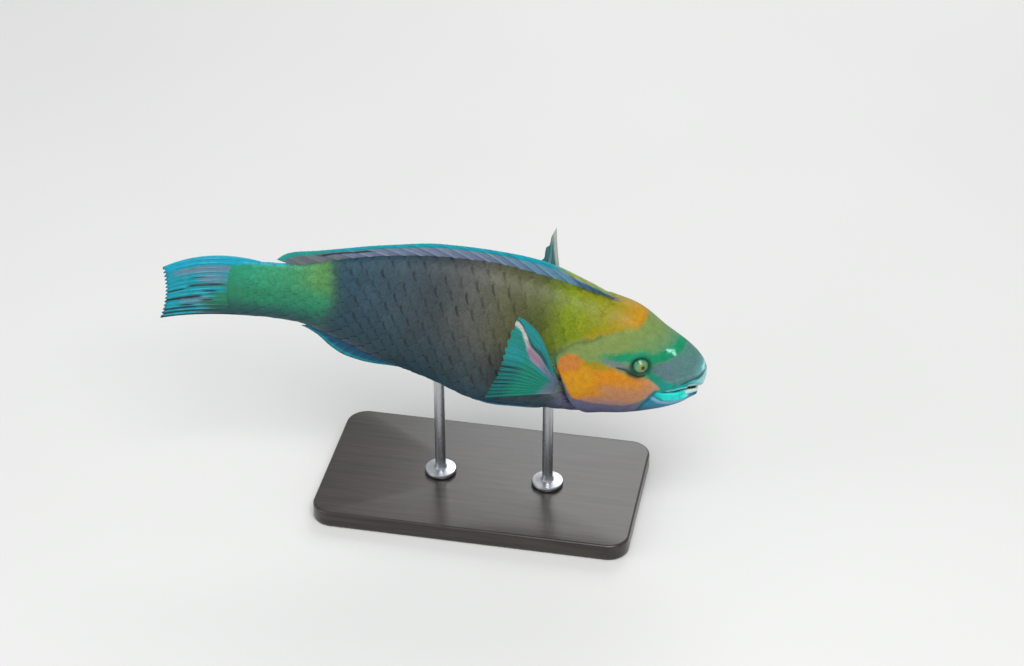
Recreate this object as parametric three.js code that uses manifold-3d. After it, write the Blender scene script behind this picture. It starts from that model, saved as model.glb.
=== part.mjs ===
// A parrotfish (Chlorurus sordidus, terminal-phase male) as a life-size display model on a stand.
// Millimetres, +Z up, snout towards +X. The origin is on the floor, under the middle of the model.
// A place on the fish is given as s, the distance behind the snout, with y to its left and z up.
import * as THREE from 'three';
import { mergeVertices } from 'three/addons/utils/BufferGeometryUtils.js';
import Module from 'manifold-3d';

const wasm = await Module();
wasm.setup();
const { degToRad, lerp } = THREE.MathUtils;

// Driving dimensions of the fish and its pose
const TOTAL_LENGTH = 300;
const STANDARD_LENGTH = 256;
const MIDDLE = TOTAL_LENGTH / 2;
const GAP = 0.3;
const NOSE_DOWN = degToRad(6.5);
const MIDDLE_HEIGHT = 115;
const TAIL_SWING = 24;
const SWING_START = 170;

// Body sections: distance behind the snout, top, bottom and half width
const SECTIONS = [
  [0, 0, 0, 0],
  [4, 9.6, -13.4, 6.2],
  [12, 16.2, -21.4, 10.4],
  [25, 23, -28, 14.8],
  [45, 34, -34.7, 19.3],
  [70, 38.3, -39.2, 20.5],
  [95, 42, -42.6, 21.2],
  [120, 43.7, -45.8, 21.5],
  [150, 41, -38.8, 18],
  [180, 34.7, -33, 13.5],
  [205, 27.6, -24.8, 9.2],
  [230, 20, -17.7, 5.7],
  [256, 19.5, -17, 3.7],
];
const SECTION_POWER = 2.2;
const WIDEST_DROP = 0.04;
const PEDUNCLE_END = 267;
const PEDUNCLE_END_HALF = 1.3;

// Scales: length of one along the body, rows round it, reach of a tip past its notch, and step at the edge
const SCALE = { pitch: 8.75, rows: 24, point: 1.75, edge: 0.35, lift: 0.45 };

// Divisions of the body
const HEAD_END = 92;
const TORSO_START = 46;
const TAIL_START = 229;

// Gill cover
const GILL_TOP = 18;
const GILL_LIFT = 1.2;
const GILL_THICKNESS = 2.2;
const COVER_INNER = 3;

// Eyes and nostrils
const EYE = { s: 35.1, z: 7.3, radius: 5, sunk: 3.2, rim: 0.8, rimRadius: 6.6, rimWidth: 1.9 };
const NOSTRILS = [
  { s: 19.8, z: 14.8, radius: 1.0 },
  { s: 23.2, z: 15.3, radius: 0.8 },
];

// Upper and lower edge of the open mouth, from the front of the beak to the corner of the mouth
const MOUTH_UPPER = [
  [-8, -8.6], [1.1, -8.6], [2, -7.2], [3, -6.1], [4.2, -5.6], [6.5, -5.6],
  [9, -5.9], [12, -6.5], [15.5, -7.6], [19, -8.4], [22, -8.95],
];
const MOUTH_LOWER = [
  [3.2, -10.4], [3.5, -9], [4.2, -8], [6.5, -7.9], [9, -8], [12, -8.3], [15.5, -8.85], [19, -9.1], [22, -9.25],
];

// Tooth plates: how far back each reaches, and how much of it shows beside the mouth
const BEAK = { upperBack: 8.5, lowerBack: 12, upperShow: 2.4, lowerShow: 3.1, inset: 0.3, suture: 0.5 };

// Fins: thickness of the web and of a ray at the root, and how far the root is sunk
const WEB = 0.75;
const RAY = 1.5;
const ROOT_SINK = 2.2;
const DORSAL = { spines: 9, rays: 10, start: 54, end: 227.5, sweep: 20, frontSweep: 4, rearSweep: 13 };
const DORSAL_HEIGHT = [
  [58, 1.6], [66, 4], [76, 5.8], [88, 7.6], [99, 8.2], [124, 7.1],
  [154, 7.4], [184, 6.3], [204, 6.3], [227, 8.3], [235, 6.4], [240.5, 1.9],
];
const ANAL = { spines: 3, rays: 9, start: 158, end: 215, sweep: 10, frontSweep: 5 };
const ANAL_DEPTH = [
  [163, 1.4], [173, 3.6], [182.5, 6.5], [192, 9], [200, 10], [208, 8], [215, 4.4], [225, 2],
];
const CAUDAL = { rays: 14, rootUpper: [249, 19.4], rootLower: [249, -16.9], rootBulge: 13, notch: 0.05 };
const CAUDAL_TIP_UPPER = [299.8, 13.1];
const CAUDAL_TIP_LOWER = [300, -20.6];
const CAUDAL_BOW_UPPER = [278, 26];
const CAUDAL_BOW_LOWER = [282, -16.3];
const CAUDAL_HOLLOW = 2.2;
const CAUDAL_ROOT_THICKNESS = 1.3;
const PECTORAL = { rays: 14, camber: 2, lowReach: [-34, 10, -5] };
const PECTORAL_BASE = { top: [77.8, 20.6, -9.5], low: [80.7, 19.1, -20.3] };
const PECTORAL_LEFT = { tipReach: [-19, 25.5, 53], waist: 0.34, bow: -1.5 };
const PECTORAL_RIGHT = { tipReach: [-22.5, 25.2, 52.8], waist: 0.25, bow: 4.5 };
const PELVIC = {
  rays: 6, s: 79, spread: 5, length: 38, innerLength: 25, outer: 8.5, inner: 5.5, tipOuter: 13.5,
};
const PELVIC_LIFT = { near: 0.9, rise: 0.35 };

// Stand
const BASE = { length: 180, width: 100, height: 10, corner: 12, bevel: 1.5, x: 25 };
const ROD = { radius: 3, flange: 9, flangeHeight: 2.5, sides: 16 };
const ROD_STATIONS = { stand_rod_front: 88, stand_rod_rear: 150 };

// Small tools: a monotone cubic through points, and a smooth step
function monotone(points) {
  const xs = points.map((p) => p[0]);
  const ys = points.map((p) => p[1]);
  const last = xs.length - 1;
  const width = xs.slice(1).map((x, i) => x - xs[i]);
  const slope = width.map((w, i) => (ys[i + 1] - ys[i]) / w);
  const tangent = ys.map((_, i) => {
    if (i === 0 || i === last) return 0;
    const before = slope[i - 1];
    const after = slope[i];
    if (before * after <= 0) return 0;
    const w1 = 2 * width[i] + width[i - 1];
    const w2 = width[i] + 2 * width[i - 1];
    return (w1 + w2) / (w1 / before + w2 / after);
  });
  tangent[0] = endTangent(width[0], width[1], slope[0], slope[1]);
  tangent[last] = endTangent(width[last - 1], width[last - 2], slope[last - 1], slope[last - 2]);
  return (x) => {
    const at = Math.min(Math.max(x, xs[0]), xs[last]);
    let i = 0;
    while (i < last - 1 && at > xs[i + 1]) i += 1;
    const t = (at - xs[i]) / width[i];
    const rise = t * t * (3 - 2 * t);
    const lead = t * (1 - t) * (1 - t) * width[i] * tangent[i];
    const trail = t * t * (t - 1) * width[i] * tangent[i + 1];
    return ys[i] * (1 - rise) + ys[i + 1] * rise + lead + trail;
  };
}

function endTangent(near, next, nearSlope, nextSlope) {
  const guess = ((2 * near + next) * nearSlope - near * nextSlope) / (near + next);
  if (guess * nearSlope <= 0) return 0;
  const tooSteep = nearSlope * nextSlope <= 0 && Math.abs(guess) > 3 * Math.abs(nearSlope);
  return tooSteep ? 3 * nearSlope : guess;
}

// A hump from 0 to 0 that reaches 1 at two thirds of the way
const humpLate = (b) => 6.75 * b * b * (1 - b);

function smooth(low, high, x) {
  const t = Math.min(Math.max((x - low) / (high - low), 0), 1);
  return t * t * (3 - 2 * t);
}

// Body surface: smooth stations in the square root of s, which rounds the snout
const along = (s) => Math.sqrt(s / STANDARD_LENGTH);
const topAt = monotone(SECTIONS.map(([s, top]) => [along(s), top]));
const bottomAt = monotone(SECTIONS.map(([s, , bottom]) => [along(s), bottom]));
const halfAt = monotone(SECTIONS.map(([s, , , half]) => [along(s), half]));
const top = (s) => topAt(along(s));
const bottom = (s) => bottomAt(along(s));

function half(s) {
  const past = Math.max(s - STANDARD_LENGTH, 0) / (PEDUNCLE_END - STANDARD_LENGTH);
  return lerp(halfAt(along(s)), PEDUNCLE_END_HALF, past);
}

const widest = (s) => (top(s) + bottom(s)) / 2 - WIDEST_DROP * (top(s) - bottom(s));

// A section is a rounded oval: the angle runs from the left flank over the top to the right flank
function sectionPoint(s, angle) {
  const across = signedPower(Math.cos(angle), 2 / SECTION_POWER);
  const up = signedPower(Math.sin(angle), 2 / SECTION_POWER);
  const middle = widest(s);
  const reach = up > 0 ? top(s) - middle : middle - bottom(s);
  return new THREE.Vector3(MIDDLE - s, half(s) * across, middle + reach * up);
}

function signedPower(value, power) {
  return Math.sign(value) * Math.abs(value) ** power;
}

function outward(s, angle) {
  const t = Math.max(along(s), 0.004);
  const at = (step) => STANDARD_LENGTH * (t + step) ** 2;
  const lengthwise = sectionPoint(at(0.003), angle).sub(sectionPoint(at(-0.003), angle));
  const around = sectionPoint(at(0), angle + 0.01).sub(sectionPoint(at(0), angle - 0.01));
  return lengthwise.cross(around).normalize();
}

function bodyPoint(s, angle, grow) {
  return sectionPoint(s, angle).addScaledVector(outward(s, angle), grow);
}

// The right or left flank at a given s and z, with the direction that faces out there
function flank(s, z, side) {
  const middle = widest(s);
  const reach = z > middle ? top(s) - middle : middle - bottom(s);
  const up = Math.min(Math.abs(z - middle) / reach, 1) ** (SECTION_POWER / 2);
  const rise = Math.asin(up) * Math.sign(z - middle);
  const angle = side > 0 ? rise : Math.PI - rise;
  return { point: sectionPoint(s, angle), out: outward(s, angle) };
}

// The underside at a given s and y
function bellyHeight(s, y) {
  const across = Math.min(Math.abs(y) / half(s), 1) ** SECTION_POWER;
  const middle = widest(s);
  return middle - (middle - bottom(s)) * (1 - across) ** (1 / SECTION_POWER);
}

// Rear edge of the gill covers, which is also where the head ends: s at each height
const gillEdge = monotone([
  [-60, 40], [-38, 58], [-23.7, 70.5], [-10, 75.8], [-5.4, 77.6],
  [4, 81], [10, 78.6], [17, 73.5], [36, 52], [60, 26],
]);

// Height of the two edges of the mouth, and the line from its corner down to the throat
const mouthUpper = monotone(MOUTH_UPPER);
const mouthLower = monotone(MOUTH_LOWER);
const THROAT_LINE = [[26, -13], [30, -18.5], [34, -26], [37, -38], [38, -60]];
const LIP_HEIGHT = 0.7;
const lipLine = (s) => 5.4 - 0.33 * s;

// Swellings of the head: rims of the eyes, lips, and gill covers that stand proud behind
function headSwelling(point) {
  const s = MIDDLE - point.x;
  const z = point.z;
  const fromEye = Math.hypot(s - EYE.s, z - EYE.z);
  const rim = EYE.rim * Math.exp(-(((fromEye - EYE.rimRadius) / EYE.rimWidth) ** 2));
  const upperLip = smooth(0, 1.6, lipLine(s) - z) * (1 - smooth(4, 8, mouthLower(s) - z));
  const lips = LIP_HEIGHT * upperLip * (1 - smooth(17, 25, s));
  const height = smooth(-42, -30, z) * (1 - smooth(9, GILL_TOP, z));
  const cover = GILL_LIFT * height * smooth(46, gillEdge(z), s) ** 2;
  return (rim + lips + cover) * smooth(0, 3, s);
}

function headPoint(s, angle, grow) {
  const point = sectionPoint(s, angle);
  return point.addScaledVector(outward(s, angle), grow + headSwelling(point));
}

// Closed body from rings of points, each end closed to its middle
function loft(rings) {
  const count = rings[0].length;
  const points = rings.flat();
  const front = points.push(centreOf(rings[0])) - 1;
  const back = points.push(centreOf(rings[rings.length - 1])) - 1;
  const faces = [];
  const lastRing = (rings.length - 1) * count;
  for (let j = 0; j < count; j += 1) {
    const k = (j + 1) % count;
    faces.push(front, k, j);
    faces.push(back, lastRing + j, lastRing + k);
    for (let i = 0; i < rings.length - 1; i += 1) {
      const here = i * count;
      const next = here + count;
      faces.push(here + j, here + k, next + j, next + j, here + k, next + k);
    }
  }
  return facingOut(geometryOf(points, faces));
}

function centreOf(points) {
  const sum = new THREE.Vector3();
  points.forEach((p) => sum.add(p));
  return sum.divideScalar(points.length);
}

function geometryOf(points, faces) {
  const geometry = new THREE.BufferGeometry();
  geometry.setAttribute('position', new THREE.Float32BufferAttribute(points.flatMap((p) => p.toArray()), 3));
  geometry.setIndex(faces);
  return geometry;
}

function facingOut(geometry) {
  const position = geometry.attributes.position;
  const index = geometry.index.array;
  const corner = (i) => new THREE.Vector3().fromBufferAttribute(position, index[i]);
  let volume = 0;
  for (let i = 0; i < index.length; i += 3) {
    volume += corner(i).dot(corner(i + 1).cross(corner(i + 2)));
  }
  if (volume < 0) {
    for (let i = 0; i < index.length; i += 3) [index[i], index[i + 1]] = [index[i + 1], index[i]];
  }
  return geometry;
}

function ringsOf(start, end, count, crowd, sides, pointAt) {
  return Array.from({ length: count + 1 }, (_, i) => {
    const s = start + (end - start) * (i / count) ** crowd;
    return Array.from({ length: sides }, (_unused, j) => pointAt(s, ((j + 0.5) / sides) * 2 * Math.PI));
  });
}

// Solids for cutting and joining
function solidOf(geometry) {
  const bare = geometry.clone();
  bare.deleteAttribute('normal');
  bare.deleteAttribute('uv');
  const merged = mergeVertices(bare, 1e-4);
  return new wasm.Manifold(new wasm.Mesh({
    numProp: 3,
    vertProperties: Float32Array.from(merged.attributes.position.array),
    triVerts: Uint32Array.from(merged.index.array),
  }));
}

function geometryFrom(solid) {
  const largest = solid.decompose().sort((a, b) => b.volume() - a.volume())[0];
  const mesh = largest.getMesh();
  const geometry = new THREE.BufferGeometry();
  geometry.setAttribute('position', new THREE.Float32BufferAttribute(Array.from(mesh.vertProperties), 3));
  geometry.setIndex(Array.from(mesh.triVerts));
  return geometry;
}

// A side-view outline in s and z, carried across from one y to another, or past both flanks
const PAST_FLANK = 70;
function prism(outline, from = -PAST_FLANK, to = PAST_FLANK) {
  const shape = new THREE.Shape(outline.map(([s, z]) => new THREE.Vector2(MIDDLE - s, z)));
  const geometry = new THREE.ExtrudeGeometry(shape, { depth: to - from, bevelEnabled: false });
  geometry.rotateX(Math.PI / 2);
  geometry.translate(0, to, 0);
  return solidOf(geometry);
}

function ball(centre, radius, across = 20) {
  const geometry = new THREE.SphereGeometry(radius, across, Math.round(across * 0.6));
  geometry.translate(centre.x, centre.y, centre.z);
  return solidOf(geometry);
}

// The tail swings sideways: every point is moved across by a parabola of its distance
function swing(geometry) {
  const position = geometry.attributes.position;
  for (let i = 0; i < position.count; i += 1) {
    const past = Math.max(MIDDLE - position.getX(i) - SWING_START, 0) / (TOTAL_LENGTH - SWING_START);
    position.setY(i, position.getY(i) - TAIL_SWING * past * past);
  }
  return geometry;
}

const LOW = -60;
const HIGH = 60;

function heights(from, to, count) {
  return Array.from({ length: count + 1 }, (_, i) => lerp(from, to, i / count));
}

// Everything in front of the rear edge of the gill covers
function headSide(shift) {
  const edge = heights(LOW, HIGH, 28).map((z) => [gillEdge(z) + shift, z]);
  return prism([...edge, [-20, HIGH], [-20, LOW]]);
}

// Head: the whole head, parted into skull, lower jaw, gill covers and tooth plates
function buildHead() {
  const whole = solidOf(loft(ringsOf(0.05, HEAD_END, 34, 1.45, 36, (s, angle) => headPoint(s, angle, 0))));
  const inside = (depth) => ringsOf(40, HEAD_END, 9, 1, 24, (s, angle) => headPoint(s, angle, -depth));
  const inner = (depth) => solidOf(loft(inside(depth)));
  let head = whole.intersect(headSide(-GAP / 2));

  const covers = {};
  for (const [name, side] of [['gill_cover_left', 1], ['gill_cover_right', -1]]) {
    const range = side > 0 ? [COVER_INNER, PAST_FLANK] : [-PAST_FLANK, -COVER_INNER];
    const room = prism(coverOutline(GAP), ...range).subtract(inner(GILL_THICKNESS + GAP));
    const plate = prism(coverOutline(0), ...range).subtract(inner(GILL_THICKNESS));
    covers[name] = geometryFrom(head.intersect(plate));
    head = head.subtract(room);
  }

  const throat = (shift) => THROAT_LINE.map(([s, z]) => [s + (shift * GAP) / 2, z]);
  const above = [...MOUTH_UPPER, ...throat(1), [120, LOW], [120, HIGH], [MOUTH_UPPER[0][0], HIGH]];
  const jawFront = MOUTH_LOWER[0][0];
  const below = [...MOUTH_LOWER, ...throat(-1), [jawFront, LOW]];
  const upper = head.intersect(prism(above));
  const lower = head.intersect(prism(below));

  const core = solidOf(loft(ringsOf(0.05, 26, 18, 1.4, 28, (s, angle) => headPoint(s, angle, -BEAK.inset))));
  // A band beside one edge of the mouth, grown by a gap for the socket that a plate sits in
  const band = (points, edge, back, show, grow) => {
    const side = Math.sign(show);
    const line = [...points.filter(([s]) => s < back), [back + grow, edge(back + grow)]];
    line[0] = [line[0][0] - grow, line[0][1]];
    const near = line.map(([s, z]) => [s, z - side * grow]);
    const far = line.map(([s, z]) => [s, z + show + side * grow]).reverse();
    return prism([...near, ...far]);
  };
  const upperBand = (grow) => band(MOUTH_UPPER, mouthUpper, BEAK.upperBack, BEAK.upperShow, grow);
  const lowerBand = (grow) => band(MOUTH_LOWER, mouthLower, BEAK.lowerBack, -BEAK.lowerShow, grow);
  const suture = prism([[-2, -30], [1.6, -30], [1.6, 30], [-2, 30]], -BEAK.suture / 2, BEAK.suture / 2);
  const plate = (room) => core.intersect(room).subtract(suture);

  const orbits = eyeBall(1, GAP).add(eyeBall(-1, GAP));
  const pit = ({ s, z, radius }, side) => ball(flank(s, z, side).point, radius, 10);
  const pits = NOSTRILS.flatMap((nostril) => [pit(nostril, 1), pit(nostril, -1)]);
  const open = upper.subtract(orbits).subtract(upperBand(GAP));
  const skull = pits.reduce((solid, hole) => solid.subtract(hole), open);
  return {
    head: geometryFrom(skull),
    lower_jaw: geometryFrom(lower.subtract(lowerBand(GAP))),
    beak_upper: geometryFrom(plate(upperBand(0))),
    beak_lower: geometryFrom(plate(lowerBand(0))),
    ...covers,
  };
}

// Side view of a gill cover: from the cheek line back to the rear edge
function coverOutline(grow) {
  const cheek = [[50, -32], [53, -22], [57, -10], [60, 2], [63, 14]];
  const rear = heights(-34, 15.5, 4).map((z) => [gillEdge(z) + 3, z]).reverse();
  const widened = cheek.map(([s, z]) => [s - grow, z]);
  return [...widened, [64, 15.5 + grow], [rear[0][0], 15.5 + grow], ...rear.slice(1), [52, -34 - grow]];
}

function eyeCentre(side) {
  const { point, out } = flank(EYE.s, EYE.z, side);
  return point.addScaledVector(out, -EYE.sunk);
}

function eyeBall(side, grow) {
  return ball(eyeCentre(side), EYE.radius + grow, 18);
}

// Scaled skin: each column of scales ends in a zigzag edge with a step down behind it, and the next
// column is shifted by a row, so that its tips lie behind the notches. The scales fade at the fins.
function scaledRings(start, end) {
  const half = SCALE.pitch / 2;
  const columns = Math.floor((end - start - SCALE.point - SCALE.edge) / half);
  const ring = (middle, k, behind) => Array.from({ length: SCALE.rows }, (_, j) => {
    const angle = (j / SCALE.rows) * 2 * Math.PI;
    const fade = smooth(0, 0.35, Math.abs(Math.cos(angle)));
    const isTip = (j + k) % 2 === 0;
    const zigzag = isTip ? SCALE.point : -SCALE.point;
    const sunk = isTip && !behind ? 0 : SCALE.lift * fade;
    return bodyPoint(middle + (k < 0 ? 0 : zigzag + (behind ? SCALE.edge : 0)), angle, -sunk);
  });
  const rings = [ring(start, -1, true)];
  for (let k = 0; k < columns; k += 1) {
    const middle = start + SCALE.point + 0.2 + k * half;
    rings.push(ring(middle, k, false), ring(middle, k, true));
  }
  rings.push(ring(end, -1, true));
  return rings;
}

// Torso and tail base
function buildTorso() {
  const whole = solidOf(loft(scaledRings(TORSO_START, TAIL_START - GAP / 2)));
  const edge = heights(LOW, HIGH, 28).map((z) => [gillEdge(z) + GAP / 2, z]);
  return geometryFrom(whole.intersect(prism([...edge, [300, HIGH], [300, LOW]])));
}

function buildTailBase() {
  return loft(scaledRings(TAIL_START + GAP / 2, PEDUNCLE_END));
}

// The body a gap larger all round, which trims whatever grows from it or carries it
function clearance(from, to) {
  return solidOf(loft(ringsOf(from, to, 30, 1, 32, (s, angle) => bodyPoint(s, angle, GAP))));
}

// Fin plate: place(a, b) runs across the rays by a and from root to edge by b
function finPlate(rays, rows, place, thickness) {
  const columns = 2 * rays;
  const side = (a, b) => place(Math.min(Math.max(a, 0), 1), b);
  const facing = (a, b) => {
    const across = side(a + 0.01, b).sub(side(a - 0.01, b));
    const outwards = side(a, Math.min(b + 0.01, 1)).sub(side(a, Math.max(b - 0.01, 0)));
    return across.cross(outwards).normalize();
  };
  const front = [];
  const back = [];
  for (let c = 0; c <= columns; c += 1) {
    for (let r = 0; r <= rows; r += 1) {
      const a = c / columns;
      const b = r / rows;
      const onRay = c % 2 === 1;
      const offset = facing(a, b).multiplyScalar(thickness(a, b, onRay) / 2);
      const middle = place(a, b, onRay);
      front.push(middle.clone().add(offset));
      back.push(middle.clone().sub(offset));
    }
  }
  return platesToSolid(front, back, columns, rows);
}

function platesToSolid(front, back, columns, rows) {
  const at = (c, r) => c * (rows + 1) + r;
  const shift = front.length;
  const faces = [];
  for (let c = 0; c < columns; c += 1) {
    for (let r = 0; r < rows; r += 1) {
      const quad = [at(c, r), at(c + 1, r), at(c + 1, r + 1), at(c, r + 1)];
      faces.push(quad[0], quad[1], quad[2], quad[0], quad[2], quad[3]);
      faces.push(...[quad[2], quad[1], quad[0], quad[3], quad[2], quad[0]].map((v) => v + shift));
    }
  }
  const rim = [];
  for (let c = 0; c < columns; c += 1) rim.push([at(c + 1, 0), at(c, 0)], [at(c, rows), at(c + 1, rows)]);
  for (let r = 0; r < rows; r += 1) rim.push([at(0, r), at(0, r + 1)], [at(columns, r + 1), at(columns, r)]);
  rim.forEach(([p, q]) => faces.push(p, q, q + shift, p, q + shift, p + shift));
  return facingOut(geometryOf([...front, ...back], faces));
}

const rayed = (root, edge) => (a, b, onRay) => (onRay ? RAY : WEB) * lerp(root, edge, b);
const onMidline = (s, z) => new THREE.Vector3(MIDDLE - s, 0, z);

function buildDorsal() {
  const height = monotone(DORSAL_HEIGHT);
  const place = (a, b) => {
    const root = lerp(DORSAL.start, DORSAL.end, a);
    const growing = lerp(DORSAL.frontSweep, DORSAL.sweep, smooth(0, 0.12, a));
    const sweep = lerp(growing, DORSAL.rearSweep, smooth(0.8, 1, a));
    const s = root + sweep * b;
    return onMidline(s, top(s) - ROOT_SINK * (1 - b) + height(root + sweep) * b);
  };
  return trimmed(finPlate(DORSAL.spines + DORSAL.rays, 3, place, rayed(1, 0.75)));
}

function buildAnal() {
  const depth = monotone(ANAL_DEPTH);
  const place = (a, b) => {
    const root = lerp(ANAL.start, ANAL.end, a);
    const sweep = lerp(ANAL.frontSweep, ANAL.sweep, smooth(0, 0.3, a));
    const s = root + sweep * b;
    return onMidline(s, bottom(s) + ROOT_SINK * (1 - b) - depth(root + sweep) * b);
  };
  return trimmed(finPlate(ANAL.spines + ANAL.rays, 3, place, rayed(1, 0.75)));
}

function buildCaudal() {
  const mix = (from, to, a) => [0, 1].map((i) => lerp(from[i], to[i], a));
  const place = (a, b, onRay = true) => {
    const hump = Math.sin(Math.PI * a);
    const root = mix(CAUDAL.rootUpper, CAUDAL.rootLower, a);
    const bow = mix(CAUDAL_BOW_UPPER, CAUDAL_BOW_LOWER, a);
    const tip = mix(CAUDAL_TIP_UPPER, CAUDAL_TIP_LOWER, a);
    root[0] += CAUDAL.rootBulge * hump;
    tip[0] -= CAUDAL_HOLLOW * hump;
    bow[1] -= CAUDAL_HOLLOW * hump;
    const inner = a > 0 && a < 1 && !onRay;
    const t = b * (inner ? 1 - CAUDAL.notch * b : 1);
    const curve = [0, 1].map((i) => root[i] * (1 - t) ** 2 + 2 * bow[i] * t * (1 - t) + tip[i] * t * t);
    return onMidline(...curve);
  };
  const thickness = (a, b, onRay) => {
    const edge = onRay ? 0.9 : 0.55;
    const root = onRay ? RAY + CAUDAL_ROOT_THICKNESS / 2 : CAUDAL_ROOT_THICKNESS;
    return lerp(root, edge, Math.sqrt(b));
  };
  const fin = solidOf(finPlate(CAUDAL.rays, 5, place, thickness));
  const around = ringsOf(TAIL_START, PEDUNCLE_END + GAP, 16, 1, 32, (s, angle) => bodyPoint(s, angle, GAP));
  return geometryFrom(fin.subtract(solidOf(loft(around))));
}

// Pectoral fin: rays fan out from a short root, from the raised leading ray to the lowest one.
// The two fins beat out of step, so each has its own reach, waist and bow of the leading ray.
function buildPectoral(side) {
  const { tipReach, waist, bow } = side > 0 ? PECTORAL_LEFT : PECTORAL_RIGHT;
  const spot = ([s, y, z]) => new THREE.Vector3(MIDDLE - s, side * y, z);
  const reach = ([x, y, z]) => new THREE.Vector3(x, side * y, z);
  const baseTop = spot(PECTORAL_BASE.top);
  const baseLow = spot(PECTORAL_BASE.low);
  const first = reach(tipReach);
  const last = reach(PECTORAL.lowReach);
  const spread = first.angleTo(last);
  const normal = first.clone().cross(last).normalize();
  const place = (a, b) => {
    const direction = first.clone().normalize().applyAxisAngle(normal, spread * a);
    const ahead = direction.clone().applyAxisAngle(normal, -Math.PI / 2);
    const plain = lerp(first.length(), last.length(), a);
    const length = plain * (1 - waist * Math.sin(Math.PI * a));
    const forward = bow * (1 - a) * humpLate(b);
    const cup = PECTORAL.camber * Math.sin(Math.PI * a) * b;
    return baseTop.clone().lerp(baseLow, a)
      .addScaledVector(direction, length * b - ROOT_SINK * (1 - b))
      .addScaledVector(ahead, forward)
      .addScaledVector(normal, cup);
  };
  const fin = solidOf(finPlate(PECTORAL.rays, 5, place, rayed(1.1, 0.75)));
  return geometryFrom(fin.subtract(clearance(TORSO_START, 120)).subtract(headSide(GAP)));
}

// Pelvic fin: folded back under the belly, close to the skin
function buildPelvic(side) {
  const place = (a, b) => {
    const s = PELVIC.s + PELVIC.spread * (1 - a) + lerp(PELVIC.length, PELVIC.innerLength, a) * b;
    const outer = lerp(PELVIC.outer, PELVIC.tipOuter, b);
    const y = lerp(outer, PELVIC.inner, a);
    const lift = lerp(-ROOT_SINK, PELVIC_LIFT.near, smooth(0, 0.35, b)) + PELVIC_LIFT.rise * b;
    return new THREE.Vector3(MIDDLE - s, side * y, bellyHeight(s, y) - lift);
  };
  return trimmed(finPlate(PELVIC.rays, 4, place, rayed(1, 0.75)));
}

function trimmed(geometry) {
  return geometryFrom(solidOf(geometry).subtract(clearance(TORSO_START, 250)));
}

// Stand
function buildBase() {
  const x = BASE.length / 2 - BASE.bevel;
  const y = BASE.width / 2 - BASE.bevel;
  const r = BASE.corner;
  const shape = new THREE.Shape();
  shape.moveTo(x, -y + r);
  shape.absarc(x - r, y - r, r, 0, Math.PI / 2);
  shape.absarc(-x + r, y - r, r, Math.PI / 2, Math.PI);
  shape.absarc(-x + r, -y + r, r, Math.PI, 1.5 * Math.PI);
  shape.absarc(x - r, -y + r, r, 1.5 * Math.PI, 2 * Math.PI);
  const geometry = new THREE.ExtrudeGeometry(shape, {
    depth: BASE.height - 2 * BASE.bevel,
    bevelThickness: BASE.bevel,
    bevelSize: BASE.bevel,
    bevelSegments: 1,
    curveSegments: 5,
  });
  geometry.translate(BASE.x, 0, BASE.bevel);
  return geometryFrom(solidOf(geometry));
}

// A rod with a foot flange, cut off at the belly that it carries
function buildRod(s, fish) {
  const tall = MIDDLE_HEIGHT - BASE.height - GAP;
  const profile = [
    [0, 0], [ROD.flange, 0], [ROD.flange, ROD.flangeHeight - 1], [ROD.flange - 1, ROD.flangeHeight],
    [ROD.radius + 1, ROD.flangeHeight], [ROD.radius, ROD.flangeHeight + 1.5], [ROD.radius, tall], [0, tall],
  ];
  const geometry = new THREE.LatheGeometry(profile.map(([r, h]) => new THREE.Vector2(r, h)), ROD.sides);
  geometry.rotateX(Math.PI / 2);
  geometry.translate(MIDDLE - s, 0, BASE.height + GAP);
  geometry.applyMatrix4(fish.matrixWorld.clone().invert());
  const rod = solidOf(geometry).subtract(clearance(TORSO_START, SWING_START));
  return geometryFrom(rod).applyMatrix4(fish.matrixWorld);
}

// Assembly
const FINISHES = {
  head: ['#7f9a5a', 0.45],
  lower_jaw: ['#3fb6c4', 0.4],
  gill_cover_left: ['#e39a3c', 0.45],
  gill_cover_right: ['#e39a3c', 0.45],
  beak_upper: ['#cfeeea', 0.25],
  beak_lower: ['#dff4ee', 0.25],
  eye_left: ['#a9b86a', 0.12],
  eye_right: ['#a9b86a', 0.12],
  torso: ['#6d6a68', 0.45],
  tail_base: ['#5fae5a', 0.45],
  dorsal_fin: ['#38b5c8', 0.4],
  anal_fin: ['#2b8fb0', 0.4],
  caudal_fin: ['#37bcd0', 0.4],
  pectoral_fin_left: ['#2fa48c', 0.4],
  pectoral_fin_right: ['#2fa48c', 0.4],
  pelvic_fin_left: ['#7f96b8', 0.4],
  pelvic_fin_right: ['#7f96b8', 0.4],
  stand_base: ['#2b2623', 0.35],
  stand_rod_front: ['#b9bcc0', 0.3, 1],
  stand_rod_rear: ['#b9bcc0', 0.3, 1],
};

function named(name, geometry) {
  const [color, roughness, metalness = 0] = FINISHES[name];
  const mesh = new THREE.Mesh(geometry, new THREE.MeshStandardMaterial({ color, roughness, metalness }));
  mesh.name = name;
  return mesh;
}

const fish = new THREE.Group();
fish.rotation.y = NOSE_DOWN;
fish.position.z = MIDDLE_HEIGHT;
fish.updateMatrixWorld(true);

const fishParts = {
  ...buildHead(),
  eye_left: geometryFrom(eyeBall(1, 0)),
  eye_right: geometryFrom(eyeBall(-1, 0)),
  torso: buildTorso(),
  tail_base: buildTailBase(),
  dorsal_fin: buildDorsal(),
  anal_fin: buildAnal(),
  caudal_fin: buildCaudal(),
  pectoral_fin_left: buildPectoral(1),
  pectoral_fin_right: buildPectoral(-1),
  pelvic_fin_left: buildPelvic(1),
  pelvic_fin_right: buildPelvic(-1),
};
for (const [name, geometry] of Object.entries(fishParts)) fish.add(named(name, swing(geometry)));

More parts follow.
